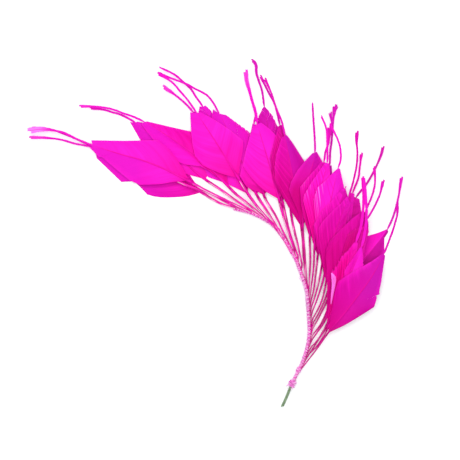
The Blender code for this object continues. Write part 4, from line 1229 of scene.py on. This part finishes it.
def add_fuzz(parts, wire, knot, places, random):
    """Short loose fibres all over the binding, thicker at the knot and at one place above it."""
    start, end, _ = places
    everywhere, at_knot, at_thickest = FUZZ_COUNTS
    count = sum(FUZZ_COUNTS)
    thickest = wire.nearest(FUZZ_THICKEST_AT)
    s = np.concatenate([random.uniform(start, end, everywhere),
                        random.normal(knot, FUZZ_SPREADS[0], at_knot),
                        random.normal(thickest, FUZZ_SPREADS[1], at_thickest)])
    s = np.clip(s, start, end)
    angle = random.uniform(0, 2 * math.pi, count)
    length = random.uniform(*FUZZ_LENGTHS, count)
    share = np.linspace(0, 1, FUZZ_POINTS)
    lean = random.uniform(-1.2, 1.2, count)
    swirl = random.uniform(-1.5, 1.5, count)
    grid_s = s[:, None] + (lean * length)[:, None] * share
    grid_s = np.clip(grid_s, start, end)
    root = np.where(np.abs(s - knot) < 0.003, 0.0026, bound_radius(s, *places))
    grid_r = root[:, None] + 0.62 * length[:, None] * share ** 1.3
    grid_a = angle[:, None] + swirl[:, None] * share * 0.35
    flat = wire.wound(grid_s.ravel(), grid_a.ravel(), grid_r.ravel())
    line = flat.reshape(count, FUZZ_POINTS, 3)
    line[..., 2] = np.maximum(line[..., 2], 0.0002)
    ahead = unit(np.gradient(line, axis=1))
    side = unit(np.cross(ahead, (0.0, 0.0, 1.0)) + 1e-9)
    above = np.cross(side, ahead)
    thick = FUZZ_HALF_WIDTHS[None, :, None]
    uv = np.stack(np.broadcast_arrays(share[None, :], s[:, None] * UV_PER_METRE), axis=-1)
    tone = np.full((count, FUZZ_POINTS), 0.9)
    add_strands(parts, line - thick * side, line + thick * above, line + thick * side, uv, tone,
                np.zeros_like(tone), 0)


def make_wire(wire, materials):
    """The paper covered florist wire, with its spiral paper edge and its slanting cut end."""
    random = np.random.default_rng(11)
    parts = MeshParts()
    knot = wire.nearest(KNOT_CENTRE)
    bare = np.arange(0.0, knot, WIRE_STEP)
    hidden = np.arange(knot, wire.end, 0.002)
    s = np.concatenate([bare, hidden])
    centre, side, above, ahead = wire.frames(s)
    spiral = (s[:, None] / PAPER_PITCH - np.arange(WIRE_SIDES)[None, :] / WIRE_SIDES) % 1.0
    fold = PAPER_LAP * (1 - spiral) + PAPER_EDGE * np.exp(-((spiral - 0.04) / 0.03) ** 2)
    crinkle = PAPER_CRINKLE * np.stack([wave(s, random, 4, 0.003) for _ in range(WIRE_SIDES)], axis=1)
    radius = np.where(s < knot, WIRE_RADIUS, HIDDEN_WIRE_RADIUS)[:, None]
    radius = radius - PAPER_THICKNESS + (fold + crinkle)
    radius[0] *= 0.94
    points = centre[:, None] + radius[..., None] * ring_directions(side, above, WIRE_SIDES)
    slant = WIRE_CUT_SLANT * (WIRE_RADIUS + (points[0] - centre[0]) @ side[0])
    for row in range(CUT_ROWS):
        points[row] += ahead[row] * np.maximum(slant - WIRE_STEP * row, 0)[:, None] * (1 - row / 14)
    points[..., 2] = np.maximum(points[..., 2], 0.00005)
    parts.add(points.reshape(-1, 3), prism_faces(len(s), 1, WIRE_SIDES),
              tube_uv(s, WIRE_SIDES).reshape(-1, 2), np.clip(spiral, 0, 1).ravel(),
              np.zeros(spiral.size), 0)
    middle = centre[0] + ahead[0] * (WIRE_CUT_SLANT * WIRE_RADIUS)
    lean = unit(ahead[0] - WIRE_CUT_SLANT * side[0])
    core = np.stack([middle + lean * 0.0004, middle - lean * 0.00012, middle - lean * 0.00016])
    add_tube(parts, core, np.array([0.00045, 0.00045, 0.00036]), 12, 1)
    piece = parts.make("wrapped_wire", materials, smooth_slots=(0,))
    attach(piece, "root")
    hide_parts("florist_wire")


def opaque(colour):
    """A colour of three numbers with full alpha. A node's output stays as it is."""
    return (*colour, 1.0) if isinstance(colour, tuple) else colour


class Tree:
    """A material's node tree, with short calls to add and join its nodes."""

    def __init__(self, name):
        self.material = bpy.data.materials.new(name)
        self.material.use_nodes = True
        self.nodes = self.material.node_tree.nodes
        self.links = self.material.node_tree.links
        self.shader = self.nodes["Principled BSDF"]

    def feed(self, node, inputs):
        """Gives a node's inputs, by name, another node's output or a fixed value."""
        for name, value in inputs.items():
            if isinstance(value, bpy.types.NodeSocket):
                self.links.new(value, node.inputs[name])
            else:
                node.inputs[name].default_value = value

    def add(self, kind, inputs, **settings):
        made = self.nodes.new(kind)
        for key, value in settings.items():
            setattr(made, key, value)
        self.feed(made, inputs)
        return made

    def attribute(self, name):
        return self.add("ShaderNodeAttribute", {}, attribute_name=name).outputs["Fac"]

    def mapped(self, scale, turn=0.0):
        """Places along and across a barb or tube, from the mesh's own lengths."""
        uv = self.add("ShaderNodeUVMap", {}, uv_map="UVMap").outputs[0]
        inputs = {"Vector": uv, "Rotation": (0.0, 0.0, turn), "Scale": scale}
        return self.add("ShaderNodeMapping", inputs).outputs[0]

    def streaks(self, scale, detail=3.0):
        """Noise stretched along the barbs."""
        inputs = {"Vector": self.mapped(scale), "Scale": 1.0, "Detail": detail}
        return self.add("ShaderNodeTexNoise", inputs).outputs["Fac"]

    def ramp(self, source, places, colours):
        made = self.add("ShaderNodeValToRGB", {"Fac": source})
        elements = made.color_ramp.elements
        while len(elements) < len(colours):
            elements.new(0.5)
        for element, position, colour in zip(elements, places, colours):
            element.position = position
            element.color = opaque(colour)
        return made.outputs["Color"]

    def mix(self, kind, share, one, two):
        inputs = {"Factor": share, "A": opaque(one), "B": opaque(two)}
        return self.add("ShaderNodeMix", inputs, data_type="RGBA", blend_type=kind).outputs["Result"]

    def average(self, one, two, share=0.5):
        inputs = {"Factor": share, "A": one, "B": two}
        return self.add("ShaderNodeMix", inputs, data_type="FLOAT").outputs["Result"]

    def between(self, source, low, high, start=0.0, stop=1.0):
        inputs = {"Value": source, "From Min": start, "From Max": stop, "To Min": low, "To Max": high}
        return self.add("ShaderNodeMapRange", inputs).outputs["Result"]

    def bump(self, source, strength, distance):
        made = self.add("ShaderNodeBump", {"Strength": strength, "Distance": distance, "Height": source})
        self.feed(self.shader, {"Normal": made.outputs[0]})

    def finish(self, colour, noise, smoothest, roughest, others):
        """The material, with its colour, a roughness that follows the noise and other fixed values."""
        roughness = self.between(noise, smoothest, roughest, 0.3, 0.7)
        self.feed(self.shader, {"Base Color": colour, "Roughness": roughness, **others})
        return self.material


def vane_material(name, dark, middle, light):
    """Dyed barbs: uneven dye in streaks along the barbs, redder near the quill, paler at the ends; painted
    shade and painted highlight come in through the tone, along and out attributes.
    """
    tree = Tree(name)
    out = tree.attribute("out")
    along = tree.attribute("along")
    streak = tree.streaks((0.5, 8.0, 1.0))
    blotch = tree.streaks((0.35, 0.5, 1.0), detail=2.0)
    shade = tree.average(tree.average(streak, tree.attribute("tone")), blotch, 0.3)
    colour = tree.ramp(shade, (0.28, 0.5, 0.78), (dark, middle, light))
    depth = 1.0 if middle[0] > VIOLET_FROM else DEEPER_VIOLET
    violet = (0.92 * depth * middle[0], 2.5 * middle[1], 1.2 * depth * middle[2])
    darkest = tuple(DARKEST_VIOLET * value for value in violet)
    violet = tree.ramp(shade, (0.25, 0.45), (darkest, violet))
    # Redder towards the quill; where a feather's base is lowered in along, this red is painted shade
    colour = tree.mix("MULTIPLY", tree.between(along, 0.9, 0.0, 0.0, 0.45), colour, (0.94, 0.4, 0.62))
    colour = tree.mix("MIX", tree.between(along, 0.0, 0.85, 0.5, 1.0), colour, violet)
    colour = tree.mix("MIX", tree.between(out, 0.0, 0.35, 0.75, 1.0), colour, light)
    # Near white where out passes 0.95: the rolled edge's paler underside, pale tuft ends and the painted
    # highlight stripes
    colour = tree.mix("MIX", tree.between(out, 0.0, 1.0, 0.95, 1.95), colour, (1.0, 0.22, 0.86))
    tree.bump(tree.streaks((90.0, 30.0, 1.0), detail=1.0), 0.25, 0.00004)
    return tree.finish(colour, streak, 0.42, 0.62, {
        "Specular IOR Level": 0.07, "Sheen Weight": 0.02, "Sheen Roughness": 0.45,
        "Sheen Tint": (1.0, 0.55, 0.95, 1.0)})


def shaft_shade(tree):
    """Streaks along a shaft, and the shade that they make with the mesh's own tone."""
    streak = tree.streaks((1.2, 9.0, 1.0))
    return streak, tree.average(streak, tree.attribute("tone"), 0.4)


def quill_material(name, *colours):
    """Dyed quill: glossy, its tone varying in streaks along the shaft, near white along the painted highlight
    stripe that the out attribute carries.
    """
    tree = Tree(name)
    streak, shade = shaft_shade(tree)
    # Painted highlight: the stripe's share turns the quill near white
    pale = tree.between(tree.attribute("out"), 0.0, 0.9)
    colour = tree.mix("MIX", pale, tree.ramp(shade, SHAFT_STOPS, colours), (1.0, 0.9, 0.97))
    tree.bump(tree.streaks((6.0, 14.0, 1.0)), 0.3, 0.00008)
    return tree.finish(colour, streak, 0.3, 0.45, {"Specular IOR Level": 0.18})


def stem_material(name, dark, middle, light):
    """The shaft between the barbs, redder than they are, and beyond the vane as violet as they are."""
    tree = Tree(name)
    out = tree.attribute("out")
    streak, shade = shaft_shade(tree)
    shaft = (0.85 * middle[0], 0.5 * middle[1], 0.58 * middle[2])
    stem = (middle[0], 3 * middle[1], 1.2 * middle[2])
    bare = tree.ramp(shade, SHAFT_STOPS, QUILL_COLOURS)
    colour = tree.mix("MIX", 0.7, tree.ramp(shade, SHAFT_STOPS, (dark, middle, light)), shaft)
    colour = tree.mix("MIX", tree.between(out, 0.0, 0.8), colour, stem)
    colour = tree.mix("MIX", tree.between(out, 1.0, 0.0, -1.0, 0.0), colour, bare)
    tree.bump(tree.streaks((6.0, 14.0, 1.0)), 0.3, 0.00005)
    return tree.finish(colour, streak, 0.42, 0.6, {"Specular IOR Level": 0.06})


def thread_material(name, *colours):
    """Pale thread: twisted strands with fine light fibres."""
    tree = Tree(name)
    inputs = {"Vector": tree.mapped((14.0, 3.0, 1.0), 0.6), "Scale": 2.2, "Distortion": 1.2}
    twist = tree.add("ShaderNodeTexWave", inputs, wave_type="BANDS").outputs["Fac"]
    patch = tree.streaks((5.0, 2.0, 1.0))
    shade = tree.average(tree.average(twist, patch, 0.6), tree.attribute("tone"), 0.45)
    tree.bump(twist, 0.5, 0.00006)
    return tree.finish(tree.ramp(shade, (0.25, 0.5, 0.72), colours), patch, 0.5, 0.75, {
        "Sheen Weight": 0.15, "Sheen Roughness": 0.5, "Sheen Tint": (1.0, 0.8, 0.97, 1.0)})


def paper_material(name):
    """Green paper round the wire: grain, a darker seam where the spiral laps, a little wear."""
    tree = Tree(name)
    grain = tree.streaks((26.0, 9.0, 1.0), detail=5.0)
    pale_patches = tree.streaks((3.0, 2.0, 1.0), detail=2.0)
    colour = tree.ramp(tree.average(grain, pale_patches, 0.4), (0.3, 0.5, 0.72), PAPER_COLOURS)
    seam = tree.between(tree.attribute("tone"), 0.55, 0.0, 0.0, 0.14)
    colour = tree.mix("MULTIPLY", seam, colour, (0.45, 0.5, 0.42))
    tree.bump(grain, 0.4, 0.00008)
    return tree.finish(colour, grain, 0.55, 0.85, {})


def steel_material(name):
    """The wire's cut steel core."""
    tree = Tree(name)
    grain = tree.streaks((20.0, 20.0, 1.0))
    colour = tree.ramp(grain, (0.3, 0.7), STEEL_COLOURS)
    return tree.finish(colour, grain, 0.3, 0.5, {"Metallic": 1.0})


def table_material():
    tree = Tree("white_table")
    tree.feed(tree.shader, {
        "Base Color": TABLE_COLOUR, "Roughness": 0.9, "Specular IOR Level": 0.1,
        "Emission Color": (1.0, 1.0, 1.0, 1.0), "Emission Strength": TABLE_GLOW})
    return tree.material


def make_floor():
    size = TABLE_HALF_SIZE
    mesh = bpy.data.meshes.new("table_top")
    corners = [(-size, -size, 0), (size, -size, 0), (size, size, 0), (-size, size, 0)]
    mesh.from_pydata(corners, [], [(0, 1, 2, 3)])
    mesh.materials.append(table_material())
    floor = bpy.data.objects.new("table_top", mesh)
    floor.location.z = cad_bounds[0][2] - TABLE_GAP
    bpy.context.scene.collection.objects.link(floor)


def make_key_light():
    light = bpy.data.lights.new("key", "AREA")
    light.shape = "DISK"
    light.size = KEY_SIZE
    light.energy = KEY_POWER
    light.color = KEY_COLOUR
    lamp = bpy.data.objects.new("key", light)
    lamp.location = KEY_AT
    lamp.rotation_euler = (Vector(KEY_AIM) - Vector(KEY_AT)).to_track_quat("-Z", "Y").to_euler()
    bpy.context.scene.collection.objects.link(lamp)


def make_studio():
    world = bpy.data.worlds.new("studio")
    bpy.context.scene.world = world
    world.use_nodes = True
    world.node_tree.nodes["Background"].inputs["Color"].default_value = WORLD_COLOUR
    world.node_tree.nodes["Background"].inputs["Strength"].default_value = WORLD_STRENGTH
    make_key_light()
    view = bpy.context.scene.view_settings
    view.view_transform = "Standard"
    view.look = "None"


def make_camera():
    centre = place((PHOTO_SIZE / 2, PHOTO_SIZE / 2))
    frame_width = PHOTO_SIZE * PHOTO_STEP
    camera = bpy.data.cameras.new("camera")
    camera.sensor_width = SENSOR
    camera.lens = SENSOR * (CAMERA_HEIGHT - SPRAY_MID_HEIGHT) / frame_width
    camera.clip_start = 0.1
    camera.clip_end = 10
    thing = bpy.data.objects.new("camera", camera)
    thing.location = (centre[0], centre[1], CAMERA_HEIGHT)
    bpy.context.scene.collection.objects.link(thing)
    bpy.context.scene.camera = thing


def main():
    make_camera()
    make_studio()
    make_floor()
    wire = Wire()
    quill = quill_material("dyed_quill", *QUILL_COLOURS)
    made = {}
    for name, colours in DYES.items():
        stem = stem_material(name + "_stem", *colours)
        made[name] = [vane_material(name + "_barbs", *colours), quill, stem]
    for number in sorted(FEATHERS):
        make_feather(number, wire, made)
    thread = thread_material("pale_thread", *THREAD_COLOURS)
    core = quill_material("bound_quills", *CORE_COLOURS)
    make_binding(wire, [thread, core])
    make_wire(wire, [paper_material("green_paper"), steel_material("cut_steel")])


main()
